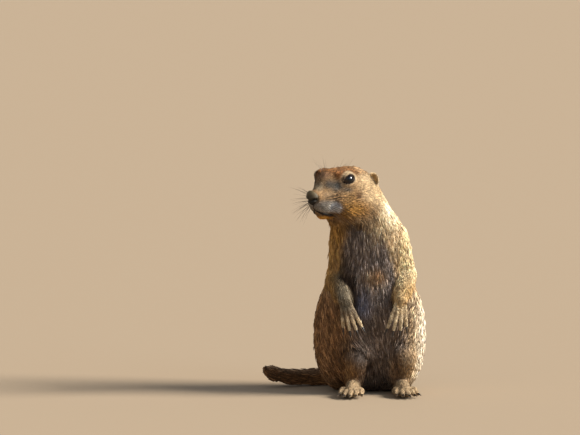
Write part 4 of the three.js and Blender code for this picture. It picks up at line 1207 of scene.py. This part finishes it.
    # Every vertex goes to its own height over the nearest skin, so that a lock follows the body's curve.
    nearest = n.add("GeometryNodeProximity", {0: given["Skin"]}, target_element="FACES")
    up = n.add("GeometryNodeSampleNearestSurface", {"Mesh": given["Skin"]}, data_type="FLOAT_VECTOR")
    n.feed(up.inputs["Value"], n.named("outward", "FLOAT_VECTOR"))
    raised = n.scaled(up.outputs["Value"], n.times(n.named("height"), n.named("rise")))
    on_skin = n.vector("ADD", nearest.outputs["Position"], raised)
    moved = n.out("GeometryNodeSetPosition", {"Geometry": real, "Position": on_skin})
    # The map: each lock is a small patch at its root's place.
    patch = n.vector("MULTIPLY", n.named("patch", "FLOAT_VECTOR"), (0.003, 0.003, 0.0))
    on_map = n.vector("ADD", n.named("root_place", "FLOAT_VECTOR"), patch)
    mapped = n.store(moved, "OFBake", on_map, "FLOAT2", "CORNER")
    n.feed(end["Coat"], n.out("GeometryNodeSetMaterial", {"Geometry": mapped, "Material": given["Coat Material"]}))
    return tree


def made_by_nodes(carrier, name, tree, **values):
    """What a Geometry Nodes tree makes of an object, with its inputs named as here but for blanks and capitals."""
    modifier = carrier.modifiers.new(tree.name, "NODES")
    modifier.node_group = tree
    for socket in tree.interface.items_tree:
        label = socket.name.lower().replace(" ", "_")
        if socket.item_type == "SOCKET" and socket.in_out == "INPUT" and label in values:
            modifier[socket.identifier] = values[label]
    return baked_mesh(carrier, name)


def build_coat():
    """The coat in pieces, each made by the same nodes from the skin."""
    look = bpy.context.scene.prairie_coat
    skin = bpy.data.objects["skin"].data
    peak = skin["peak_amount"]
    amounts = np.empty(len(skin.vertices), np.float32)
    skin.attributes["amount"].data.foreach_get("value", amounts)
    put_values(skin, amount=amounts / peak)
    material, shapes, tree = lock_material(), lock_shapes(), coat_tree()
    for index, (name, (_, slot, clump_size, stretch)) in enumerate(COAT_PIECES.items()):
        mesh = made_by_nodes(
            in_scene("carrier", skin.copy()), name, tree, lock_shapes=shapes, coat_piece=index,
            peak_density=peak * look.density * 1e6, spacing=look.spacing, length_factor=look.length,
            width_factor=look.width, lift_factor=look.lift, stray_angle=look.stray, swirl_angle=look.swirl,
            swirl_size=look.swirl_size, clump_size=clump_size * MM, clump_pull=look.clump_pull,
            streak_size=look.streak, streak_stretch=stretch, seed=look.seed + index, coat_material=material,
        )
        drop_values(mesh, *GROWTH_VALUES, "root_place", "rise", "height", "patch")
        new_piece(name, mesh, material, slot)
    for obj in list(shapes.objects):
        bpy.data.objects.remove(obj)
    bpy.data.collections.remove(shapes)
    drop_values(skin, *GROWTH_VALUES)


# Eyes and lids.


def eye_frame(side):
    """Centre, long way, up way and gaze of an eye, in mm in the row frame."""
    centre = from_head([EYE_PLACE[0], side * EYE_PLACE[1], EYE_PLACE[2]])
    gaze = unit(np.array([EYE_AXIS[0], side * EYE_AXIS[1], EYE_AXIS[2]]) @ HEAD_TURN.T)
    long = np.array([1.0, 0.0, -0.36]) @ HEAD_TURN.T
    long = unit(long - gaze * (long @ gaze))
    up = np.cross(gaze, long)
    up *= np.sign(up[2])
    return centre, long, up, gaze


def ball(rings, sides):
    """Unit directions and faces of a closed ball round +z, and each direction's angle from +z over pi."""
    points, faces, angle = [(0, 0, 1)], [], [0.0]
    for i in range(1, rings):
        polar = math.pi * i / rings
        for j in range(sides):
            turn = 2 * math.pi * j / sides
            points.append((math.sin(polar) * math.cos(turn), math.sin(polar) * math.sin(turn), math.cos(polar)))
            angle.append(i / rings)
    points.append((0, 0, -1))
    angle.append(1.0)
    last = len(points) - 1
    for j, k in ring_pairs(sides):
        faces.append((0, 1 + j, 1 + k))
        for i in range(rings - 2):
            a, b = 1 + i * sides, 1 + (i + 1) * sides
            faces.append((a + j, b + j, b + k, a + k))
        a = 1 + (rings - 2) * sides
        faces.append((a + j, last, a + k))
    return np.array(points), faces, np.array(angle)


def build_eyes():
    """Both eyeballs, each a little fuller over the pupil."""
    look = bpy.context.scene.prairie_eyes
    points, faces, gazes = [], [], []
    shape, shape_faces, angle = ball(40, 56)
    for side in (-1, 1):
        centre, long, up, gaze = eye_frame(side)
        cornea = 0.35 * (1 - step(angle, 0.0, 0.26))
        radius = look.radius / MM + cornea
        across = np.cross(up, gaze)
        turned = shape @ np.stack([across, up, gaze])
        join_shape(points, faces, centre + turned * radius[:, None], shape_faces)
        gazes += list(angle)
    mesh = mesh_from("eyes", points, faces)
    put_values(mesh, gaze=gazes)
    new_piece("eyes", mesh, eye_material(), "eye", "eye_left", "eye_right")


def build_lids():
    """A lid margin round each eye, drawn out to a dark corner in front, that closes the skin to the eyeball."""
    look = bpy.context.scene.prairie_eyes
    radius = look.radius / MM
    dark_rim, pale_rim = np.array([0.016, 0.010, 0.007]), np.array([0.34, 0.17, 0.07])
    points, faces, tone = [], [], []
    steps = 96
    # Out from the opening's edge as a share of its size, and height over the eyeball in mm.
    profile = (
        (0.90, -0.5), (0.955, 0.12), (0.985, 0.4), (1.02, 0.58), (1.07, 0.68), (1.13, 0.6), (1.22, 0.0), (1.08, -1.0)
    )
    for side in (-1, 1):
        centre, long, up, gaze = eye_frame(side)
        start = len(points)
        for i in range(steps):
            t = 2 * math.pi * i / steps
            c, s = math.cos(t), math.sin(t)
            corner = 1 + 0.2 * max(0.0, c) ** 8 + 0.06 * max(0.0, -c) ** 10
            ex = look.opening_half / MM * c * corner
            ey = (look.opening_above if s > 0 else look.opening_below) / MM * s
            for k, (out, high) in enumerate(profile):
                x, y = ex * out, ey * out
                reach = math.hypot(x, y)
                hold = min(reach, radius * 0.985)
                level = math.sqrt(radius**2 - hold**2)
                way = np.array([x, y]) / max(reach, 1e-6)
                base = np.array([way[0] * hold, way[1] * hold, level])
                direction = base / np.linalg.norm(base)
                p = base + direction * high + np.array([way[0], way[1], 0]) * (reach - hold)
                points.append(centre + long * p[0] + up * p[1] + gaze * p[2])
                pale = step(np.array(out), 1.02 + 0.04 * max(0.0, s), 1.12)
                tone.append(dark_rim * (1 - pale) + pale_rim * pale)
        count = len(profile)
        for here, after in ring_pairs(steps):
            a, b = start + here * count, start + after * count
            faces += [(a + j, b + j, b + k, a + k) for j, k in ring_pairs(count)]
    mesh = mesh_from("lids", points, faces)
    fix_normals(mesh)
    put_values(mesh, tone=tones(np.array(tone)), tint=np.ones(len(points)))
    new_piece("lids", mesh, bare_material("Lid skin", (0.03, 0.02, 0.014), 0.62), "bare_skin")


def fix_normals(mesh):
    """Turns all faces of closed shapes outward."""
    bm = bmesh.new()
    bm.from_mesh(mesh)
    bmesh.ops.recalc_face_normals(bm, faces=bm.faces)
    bm.to_mesh(mesh)
    bm.free()
    mesh.update()


# Nose and lips.


def line_gap(points, line):
    """Each point's distance to a line of straight stretches, and how far along it the nearest place is, 0 to 1."""
    best, at = np.full(len(points), np.inf), np.zeros(len(points))
    for i, (a, b) in enumerate(zip(line[:-1], line[1:])):
        a, b = np.array(a, float), np.array(b, float)
        t = np.clip(((points - a) @ (b - a)) / ((b - a) @ (b - a)), 0, 1)
        gap = np.linalg.norm(points - (a + t[:, None] * (b - a)), axis=1)
        closer = gap < best
        best[closer], at[closer] = gap[closer], (i + t[closer]) / (len(line) - 1)
    return best, at


def build_nose():
    """The nose leather with its comma-shaped nostrils and the cleft below, darker in the nostrils and underneath as
    painted shade and paler on top as painted light.
    """
    look = bpy.context.scene.prairie_nose
    shape, faces, _ = ball(72, 96)
    way = shape[:, [2, 1, 0]] * np.array([1, 1, -1])  # the pole looks forward
    h = np.array(NOSE_PLACE) + way * np.array(NOSE_RADII)
    low = step(-h[:, 2], 16.5, 21.5)
    h[:, 1] *= 1 - 0.42 * low
    h[:, 0] -= 1.0 * low
    h[:, 0] += 0.5 * step(h[:, 2], -15, -9)
    behind = 1 - step(leather_front(h), 26.4, 28.8)
    h -= way * (1.7 * behind)[:, None]
    folded = np.stack([h[:, 0], np.abs(h[:, 1]), h[:, 2]], 1)
    gap, at = line_gap(folded, [(34.8, 1.9, -18.2), (34.0, 3.2, -17.4), (32.6, 4.6, -16.6), (30.4, 6.0, -16.4)])
    bore = np.exp(-((gap / (1.75 - 0.5 * at)) ** 2))
    middle = np.exp(-((h[:, 1] / 0.45) ** 2)) * step(h[:, 0], 29, 33) * step(-h[:, 2], 11.5, 14)
    wing = np.exp(-(((gap - 2.3) / 0.8) ** 2)) * step(h[:, 0], 29, 32)
    h -= way * (look.nostril_depth / MM * bore + 0.55 * middle - 0.28 * wing)[:, None]
    mesh = mesh_from("nose", from_head(h), faces)
    fix_normals(mesh)
    # Painted shade in the nostrils, the middle groove and on the underside, and painted light on the top.
    tone = np.array(look.tone)[None] * (1 - 0.93 * bore - 0.3 * middle)[:, None]
    tone = tone * (1 - 0.75 * step(-h[:, 2], 15, 19))[:, None]
    tone = tone + np.array([0.058, 0.043, 0.020]) * step(h[:, 2], -15, -8)[:, None]
    put_values(mesh, tone=tones(np.clip(tone, 0.001, 1)), tint=np.ones(len(h)))
    new_piece("nose_leather", mesh, bare_material("Nose leather", look.tone, 0.66, 1.4), "bare_skin", "nose")


def tube(line, radii, sides, flat=1.0, normals=None):
    """A closed tube along a line in mm, tapering by the given radii, as points and faces."""
    line = np.asarray(line, float)
    ways = unit(np.gradient(line, axis=0))
    points = []
    ref = np.array([0.0, 0.0, 1.0]) if abs(ways[0][2]) < 0.9 else np.array([1.0, 0.0, 0.0])
    for i, (p, way, r) in enumerate(zip(line, ways, radii)):
        ref = unit(normals[i] if normals is not None else ref)
        ref = a = unit(ref - way * (ref @ way))
        b = np.cross(way, a)
        for j in range(sides):
            t = 2 * math.pi * j / sides
            points.append(p + a * math.cos(t) * r * flat + b * math.sin(t) * r)
    faces = band_faces(len(line), sides)
    points += [line[0] - ways[0] * radii[0] * 0.4, line[-1] + ways[-1] * radii[-1] * 0.8]
    first, last = len(points) - 2, len(points) - 1
    end = (len(line) - 1) * sides
    for j, k in ring_pairs(sides):
        faces += [(first, k, j), (last, end + j, end + k)]
    return np.array(points), faces


def skin_tree():
    """The skin as a tree for finding the nearest place or a hit along a ray, in mm."""
    mesh = bpy.data.objects["skin"].data
    points = [Vector(p) for p in points_of(mesh)]
    return BVHTree.FromPolygons(points, [tuple(p.vertices) for p in mesh.polygons])


def build_lips():
    """The dark line of the mouth, from under the nose to both corners, as dark lips and painted shade of the mouth's
    gap, and the cleft above it as a painted shadow of its groove.
    """
    tree = skin_tree()
    middle = np.array([6.0, 0.0])

    def hit(turn, level):
        start = from_head([middle[0], middle[1], level])
        way = np.array([math.cos(turn), math.sin(turn), 0.0]) @ HEAD_TURN.T
        place, out, _, _ = tree.ray_cast(Vector(start), Vector(way), 60)
        return (np.array(place), np.array(out)) if place is not None else (None, None)

    mouth = []
    for turn in np.radians(np.linspace(-62, 62, 61)):
        aside = abs(math.degrees(turn))
        level = np.interp(aside, *MOUTH_LINE)
        place, out = hit(turn, float(level))
        if place is not None:
            mouth.append((place - out * 0.25, out))
    # The cleft: a painted shadow of the groove under the nose.
    cleft = [hit(0.0, level) for level in np.linspace(-21.0, -26.2, 9)]
    cleft = [(p - o * 0.15, o) for p, o in cleft if p is not None]
    points, faces = [], []
    for line, thick in ((mouth, 1.25), (cleft, 0.5)):
        if len(line) < 3:
            continue
        t = np.linspace(-1, 1, len(line))
        swell = np.interp(np.abs(t), (0, 0.12, 0.3, 0.75, 0.95), (0.6, 0.9, 1.25, 1.1, 0.2))
        radii = thick * (swell if line is mouth else 1.25 + 0.5 * t)
        join_shape(points, faces, *tube([p for p, _ in line], radii, 10, 0.7, [o for _, o in line]))
    mesh = mesh_from("lips", points, faces)
    fix_normals(mesh)
    put_values(mesh, tint=np.zeros(len(points)))
    new_piece("lips", mesh, bare_material("Lip skin", (0.009, 0.006, 0.005), 0.62), "bare_skin")


# Claws.


def digit_ends():
    """Where each claw starts, the way it points, its droop, length and thickness, in mm."""
    claws = [(f[3], f[4], (0, 0.75, 0), 10.6, 1.08) for f in fingers()]
    return claws + [(t[2] + np.array([0, 0, 0.6]), t[3], (0, 0, -0.34), 7.2, 1.2) for t in toes()]


def build_claws():
    """The claws of hands and feet, curved and tapering, in one mesh."""
    points, faces, along, across = [], [], [], []
    steps, sides = 14, 12
    for tip, way, droop, length, radius in digit_ends():
        way, droop = unit(way), np.array(droop)
        t = np.linspace(-0.45, 1.0, steps)
        line = tip + np.outer(t * length, way) + np.outer(np.maximum(0, t) ** 2 * length * 0.42, droop)
        radii = radius * np.interp(t, [-0.45, 0.1, 0.55, 1.0], [0.8, 1.0, 0.66, 0.12])
        join_shape(points, faces, *tube(line, radii, sides, 0.8))
        along += list(np.repeat((t + 0.45) / 1.45, sides)) + [0.0, 1.0]
        across += list(np.tile(np.abs(np.arange(sides) / sides * 2 - 1), steps)) + [0.5, 0.5]
    mesh = mesh_from("claws", points, faces)
    fix_normals(mesh)
    put_values(mesh, along=along, across=across)
    new_piece("claws", mesh, claw_material(), "bare_skin")


# Whiskers.


def whisker_tree():
    """Geometry Nodes that put a bent tapering hair on each root, turned along its aim."""
    tree, n, given, end = new_tree(
        "Whiskers", "GeometryNodeTree",
        [
            ("Roots", "Geometry", None), ("Hair Shape", "Object", None), ("Thickness", "Float", 0.0003),
            ("Length Factor", "Float", 1.0), ("Seed", "Int", 3), ("Whisker Material", "Material", None),
        ],
        [("Whiskers", "Geometry")],
    )
    shape = n.add("GeometryNodeObjectInfo", {"Object": given["Hair Shape"]})
    facing = n.out(
        "FunctionNodeAxesToRotation",
        {"Primary Axis": n.named("aim", "FLOAT_VECTOR"), "Secondary Axis": n.named("bow", "FLOAT_VECTOR")},
        primary_axis="X", secondary_axis="Z",
    )
    length = n.times(n.named("reach"), n.random(0.75, 1.15, given["Seed"]), given["Length Factor"])
    points = n.out("GeometryNodeMeshToPoints", {"Mesh": given["Roots"], "Radius": 0.0001})
    placed = n.out(
        "GeometryNodeInstanceOnPoints",
        {"Points": points, "Instance": shape.outputs["Geometry"], "Rotation": facing,
         "Scale": n.combined(length, given["Thickness"], length)},
    )
    real = n.out("GeometryNodeRealizeInstances", {"Geometry": placed})
    n.feed(end["Whiskers"], n.out("GeometryNodeSetMaterial", {"Geometry": real, "Material": given["Whisker Material"]}))
    return tree


def hair_shape(thick_to_length):
    """One whisker a unit long, bowed up along z."""
    along, sides = np.linspace(0, 1, 10), 5
    points = []
    for t in along:
        for j in range(sides):
            a, r = 2 * math.pi * j / sides, 1 - 0.9 * t
            points.append((t, r * math.cos(a), -0.16 * t**2 + r * math.sin(a) * thick_to_length))
    last = (len(along) - 1) * sides
    faces = band_faces(len(along), sides)
    faces += [tuple(range(sides - 1, -1, -1)), tuple(range(last, last + sides))]
    mesh = mesh_from("hair_shape", points, faces, scale=1)
    put_values(mesh, along=np.repeat(along, sides))
    return in_scene("hair_shape", mesh)


def build_whiskers():
    """Whiskers of the upper lip, brow, cheek and chin, rooted in the skin."""
    look = bpy.context.scene.prairie_whiskers
    rng = np.random.default_rng(look.seed)
    tree = skin_tree()
    roots, aims, reaches, bows = [], [], [], []

    def plant(place, aim, reach):
        root, out, _, _ = tree.find_nearest(Vector(from_head(place)))
        way = unit(np.array(aim) @ HEAD_TURN.T + rng.normal(size=3) * 0.10)
        roots.append(np.array(root) - np.array(out) * 0.4)
        aims.append(way)
        reaches.append(reach * rng.uniform(0.8, 1.1) * MM)
        bows.append(unit(np.cross(np.cross(way, (0, 0, 1.0)), way) + rng.normal(size=3) * 0.15))

    for side in (-1, 1):
        for row in range(6):
            for column in range(5):
                place = (25.5 - 2.6 * column + 0.6 * row, side * (8 + 0.6 * column), -14.8 - 1.8 * row)
                plant(place, (0.35 - 0.22 * column, side * 1.0, 0.38 - 0.2 * row), 19 + 4.2 * column)
        for k in range(7):
            plant((-2 + 1.9 * k, side * (12 - 0.8 * k), 8), (0.14 * k - 0.5, side * 0.5, 1.0), 15)
        for k in range(3):
            plant((-2 - 2 * k, side * 20, -16 - 1.5 * k), (-0.35, side * 1.0, -0.1), 12)
        for k in range(4):
            plant((20 - 3 * k, side * 4, -31), (0.35, side * 0.5, -1.0), 7)
    mesh = mesh_from("whisker_roots", roots, [], smooth=False)
    put_values(mesh, aim=aims, bow=bows, reach=reaches)
    shape, material = hair_shape(look.thickness / 0.02), whisker_material()
    made = made_by_nodes(
        in_scene("whisker_roots", mesh), "whiskers", whisker_tree(), hair_shape=shape, thickness=look.thickness,
        length_factor=look.length_factor, seed=look.seed, whisker_material=material,
    )
    drop_values(made, "aim", "bow", "reach")
    bpy.data.objects.remove(shape)
    new_piece("whiskers", made, material, "bare_skin")


# The stage.


def aim_at(obj, place, target):
    """Puts a lamp or camera at a place, looking at a target, in metres."""
    obj.location = place
    obj.rotation_euler = (Vector(target) - Vector(place)).to_track_quat("-Z", "Y").to_euler()


def add_sun(name, place, power, softness, tone):
    """A soft even lamp that shines from a direction on everything alike."""
    lamp = bpy.data.lights.new(name, "SUN")
    lamp.energy = power
    lamp.angle = math.radians(softness)
    lamp.color = tone
    aim_at(in_scene(name, lamp), place, (0, 0, 0))


def build_stage():
    """The floor, lamps, surround and camera."""
    scene = bpy.context.scene
    look = scene.prairie_stage
    half = look.floor_half
    corners = [(-half, -half, 0), (half, -half, 0), (half, half, 0), (-half, half, 0)]
    floor = mesh_from("floor", corners, [(0, 1, 2, 3)], smooth=False, scale=1)
    floor.materials.append(floor_material())
    in_scene("floor", floor)
    add_sun("key", (0.88, -0.13, 0.5), look.key_power, 24, (1.0, 0.95, 0.86))
    add_sun("fill", (-0.6, -1.0, 0.5), look.fill_power, 70, (1.0, 0.98, 0.96))
    add_sun("sky", (0.70, -0.62, 0.46), look.sky_power, 36, (0.55, 0.76, 1.0))
    world = bpy.data.worlds.new("Soft studio")
    world.use_nodes = True
    surround = world.node_tree.nodes["Background"].inputs
    surround["Color"].default_value = (0.94, 0.96, 1.0, 1)
    surround["Strength"].default_value = look.sky_strength
    scene.world = world
    scene.view_settings.view_transform = "Standard"
    camera = bpy.data.cameras.new("camera")
    camera.lens, camera.sensor_width, camera.clip_end = CAMERA_LENS, CAMERA_SENSOR, 30
    scene.camera = in_scene("camera", camera)
    level, aim = math.radians(CAMERA_LEVEL), Vector(CAMERA_AIM)
    aim_at(scene.camera, aim + Vector((0, -math.cos(level), math.sin(level))) * CAMERA_AWAY, aim)


# Settings that a user would change.


def size_setting(name, description, default, low, high):
    return FloatProperty(
        name=name, description=description, default=default, min=low, max=high, subtype="DISTANCE", unit="LENGTH"
    )


def share_setting(name, description, default, low=0.0, high=1000.0):
    return FloatProperty(name=name, description=description, default=default, min=low, max=high, subtype="FACTOR")


def angle_setting(name, description, default):
    return FloatProperty(
        name=name, description=description, default=default, min=0, max=1.5, subtype="ANGLE", unit="ROTATION"
    )


def tone_setting(name, description, default):
    return FloatVectorProperty(
        name=name, description=description, default=default, size=3, min=0, max=1, subtype="COLOR"
    )


def count_setting(name, description, default, low=0, high=1000):
    return IntProperty(name=name, description=description, default=default, min=low, max=high)


class SkinSettings(bpy.types.PropertyGroup):
    most_faces: count_setting("Faces", "Most triangles in the skin", 186000, 20000, 198000)
    cell: size_setting("Cell", "Size of the skin's faces before thinning", 0.00075, 0.0006, 0.004)
    rounding_rounds: count_setting("Rounding", "How often the solid's facets are evened out", 60, 0, 200)


class CoatSettings(bpy.types.PropertyGroup):
    length: share_setting("Length", "Length of all locks against their own", 1.0, 0.3, 3)
    width: share_setting("Width", "Width of all locks against their own", 1.0, 0.3, 3)
    lift: share_setting("Lift", "How high the locks stand against their own", 1.0, 0, 4)
    density: share_setting("Density", "Number of locks against their own", 1.15, 0.1, 4)
    spacing: size_setting("Spacing", "Least distance between two roots", 0.0003, 0.0001, 0.005)
    stray: angle_setting("Stray", "How far single locks turn from the lie", 0.14)
    swirl: angle_setting("Swirl", "How far whole areas turn from the lie", 0.15)
    swirl_size: size_setting("Swirl size", "Size of those areas", 0.012, 0.001, 0.05)
    clump_pull: share_setting("Clump pull", "How strongly locks run together into clumps", 0.3, 0, 1)
    streak: size_setting("Streak", "Width of the streaks of one shade", 0.0014, 0.0002, 0.01)
    lock_contrast: share_setting("Lock contrast", "How much locks differ in brightness", 0.4, 0, 0.9)
    clump_contrast: share_setting("Streak contrast", "How much streaks differ in brightness", 0.27, 0, 0.9)
    dark_end_tone: tone_setting("Dark ends", "Tone of the dark hair ends", (0.05, 0.03, 0.018))
    seed: count_setting("Seed", "Start of the random spread", 11)


class EyeSettings(bpy.types.PropertyGroup):
    radius: size_setting("Radius", "Radius of the eyeball", 0.0063, 0.004, 0.008)
    opening_half: size_setting("Half width", "Half the width of the lid opening", 0.0054, 0.003, 0.0062)
    opening_above: size_setting("Above", "Height of the opening over its middle", 0.0041, 0.002, 0.006)
    opening_below: size_setting("Below", "Depth of the opening under its middle", 0.0040, 0.002, 0.006)
    pupil_tone: tone_setting("Pupil", "Tone of the pupil", (0.003, 0.003, 0.004))
    iris_tone: tone_setting("Iris", "Tone of the iris", (0.022, 0.010, 0.005))
    edge_tone: tone_setting("Edge", "Tone of the eye's edge", (0.006, 0.004, 0.003))


class NoseSettings(bpy.types.PropertyGroup):
    tone: tone_setting("Tone", "Tone of the nose leather", (0.042, 0.031, 0.017))
    nostril_depth: size_setting("Nostril depth", "Depth of the nostrils", 0.0023, 0, 0.003)


class ClawSettings(bpy.types.PropertyGroup):
    root_tone: tone_setting("Root", "Tone at the claw's root", (0.014, 0.010, 0.008))
    tip_tone: tone_setting("Tip", "Tone at the claw's tip", (0.07, 0.048, 0.028))


class WhiskerSettings(bpy.types.PropertyGroup):
    thickness: size_setting("Thickness", "Half the thickness at the root", 0.00013, 0.00003, 0.001)
    length_factor: share_setting("Length", "Length of all whiskers against their own", 1.0, 0.2, 2)
    root_tone: tone_setting("Root", "Tone at the root", (0.02, 0.014, 0.01))
    tip_tone: tone_setting("Tip", "Tone at the tip", (0.10, 0.07, 0.045))
    seed: count_setting("Seed", "Start of the random spread", 5)


class StageSettings(bpy.types.PropertyGroup):
    floor_half: size_setting("Floor", "Half the side of the floor", 14.0, 0.5, 40)
    floor_tone: tone_setting("Floor tone", "Tone of the floor", (0.30, 0.23, 0.16))
    key_power: share_setting("Key", "Strength of the main lamp", 9.8)
    fill_power: share_setting("Fill", "Strength of the lamp opposite", 0.35)
    sky_power: share_setting("Sky", "Strength of the cool lamp in front", 0.8)
    sky_strength: share_setting("Surround", "Strength of the even light from all round", 0.37)


class PRAIRIE_OT_skin(bpy.types.Operator):
    """Build the one skin that stands for all flesh"""
    bl_idname = "prairie.skin"
    bl_label = "Skin"

    def execute(self, context):
        build_skin()
        return {"FINISHED"}


class PRAIRIE_OT_coat(bpy.types.Operator):
    """Build the coat of locks over the skin"""
    bl_idname = "prairie.coat"
    bl_label = "Coat"

    def execute(self, context):
        build_coat()
        return {"FINISHED"}


class PRAIRIE_OT_eyes(bpy.types.Operator):
    """Build both eyes and their lids"""
    bl_idname = "prairie.eyes"
    bl_label = "Eyes and Lids"

    def execute(self, context):
        build_eyes()
        build_lids()
        return {"FINISHED"}


class PRAIRIE_OT_nose(bpy.types.Operator):
    """Build the nose leather and the line of the lips"""
    bl_idname = "prairie.nose"
    bl_label = "Nose and Lips"

    def execute(self, context):
        build_nose()
        build_lips()
        return {"FINISHED"}


class PRAIRIE_OT_claws(bpy.types.Operator):
    """Build the claws of hands and feet"""
    bl_idname = "prairie.claws"
    bl_label = "Claws"

    def execute(self, context):
        build_claws()
        return {"FINISHED"}


class PRAIRIE_OT_whiskers(bpy.types.Operator):
    """Build the whiskers"""
    bl_idname = "prairie.whiskers"
    bl_label = "Whiskers"

    def execute(self, context):
        build_whiskers()
        return {"FINISHED"}


class PRAIRIE_OT_stage(bpy.types.Operator):
    """Set the floor, lamps and camera"""
    bl_idname = "prairie.stage"
    bl_label = "Stage"

    def execute(self, context):
        build_stage()
        return {"FINISHED"}


OPERATORS = (
    PRAIRIE_OT_skin, PRAIRIE_OT_coat, PRAIRIE_OT_eyes, PRAIRIE_OT_nose, PRAIRIE_OT_claws, PRAIRIE_OT_whiskers,
    PRAIRIE_OT_stage,
)
SETTINGS = {
    "prairie_skin": SkinSettings, "prairie_coat": CoatSettings, "prairie_eyes": EyeSettings,
    "prairie_nose": NoseSettings, "prairie_claws": ClawSettings, "prairie_whiskers": WhiskerSettings,
    "prairie_stage": StageSettings,
}


class VIEW3D_PT_prairie_dog(bpy.types.Panel):
    """Sizes, tones and builders of the prairie dog"""
    bl_label = "Prairie Dog"
    bl_space_type = "VIEW_3D"
    bl_region_type = "UI"
    bl_category = "Prairie Dog"

    def draw(self, context):
        for kind, (name, settings) in zip(OPERATORS, SETTINGS.items()):
            box = self.layout.box()
            box.operator(kind.bl_idname)
            for field in settings.__annotations__:
                box.prop(getattr(context.scene, name), field)


def register():
    for kind in (*SETTINGS.values(), *OPERATORS, VIEW3D_PT_prairie_dog):
        bpy.utils.register_class(kind)
    for name, kind in SETTINGS.items():
        setattr(bpy.types.Scene, name, PointerProperty(type=kind))


def unregister():
    for name in SETTINGS:
        delattr(bpy.types.Scene, name)
    for kind in reversed((*SETTINGS.values(), *OPERATORS, VIEW3D_PT_prairie_dog)):
        bpy.utils.unregister_class(kind)


def main():
    register()
    for name in ("skin", "coat", "eyes", "nose", "claws", "whiskers", "stage"):
        getattr(bpy.ops.prairie, name)()


if __name__ == "__main__":
    main()
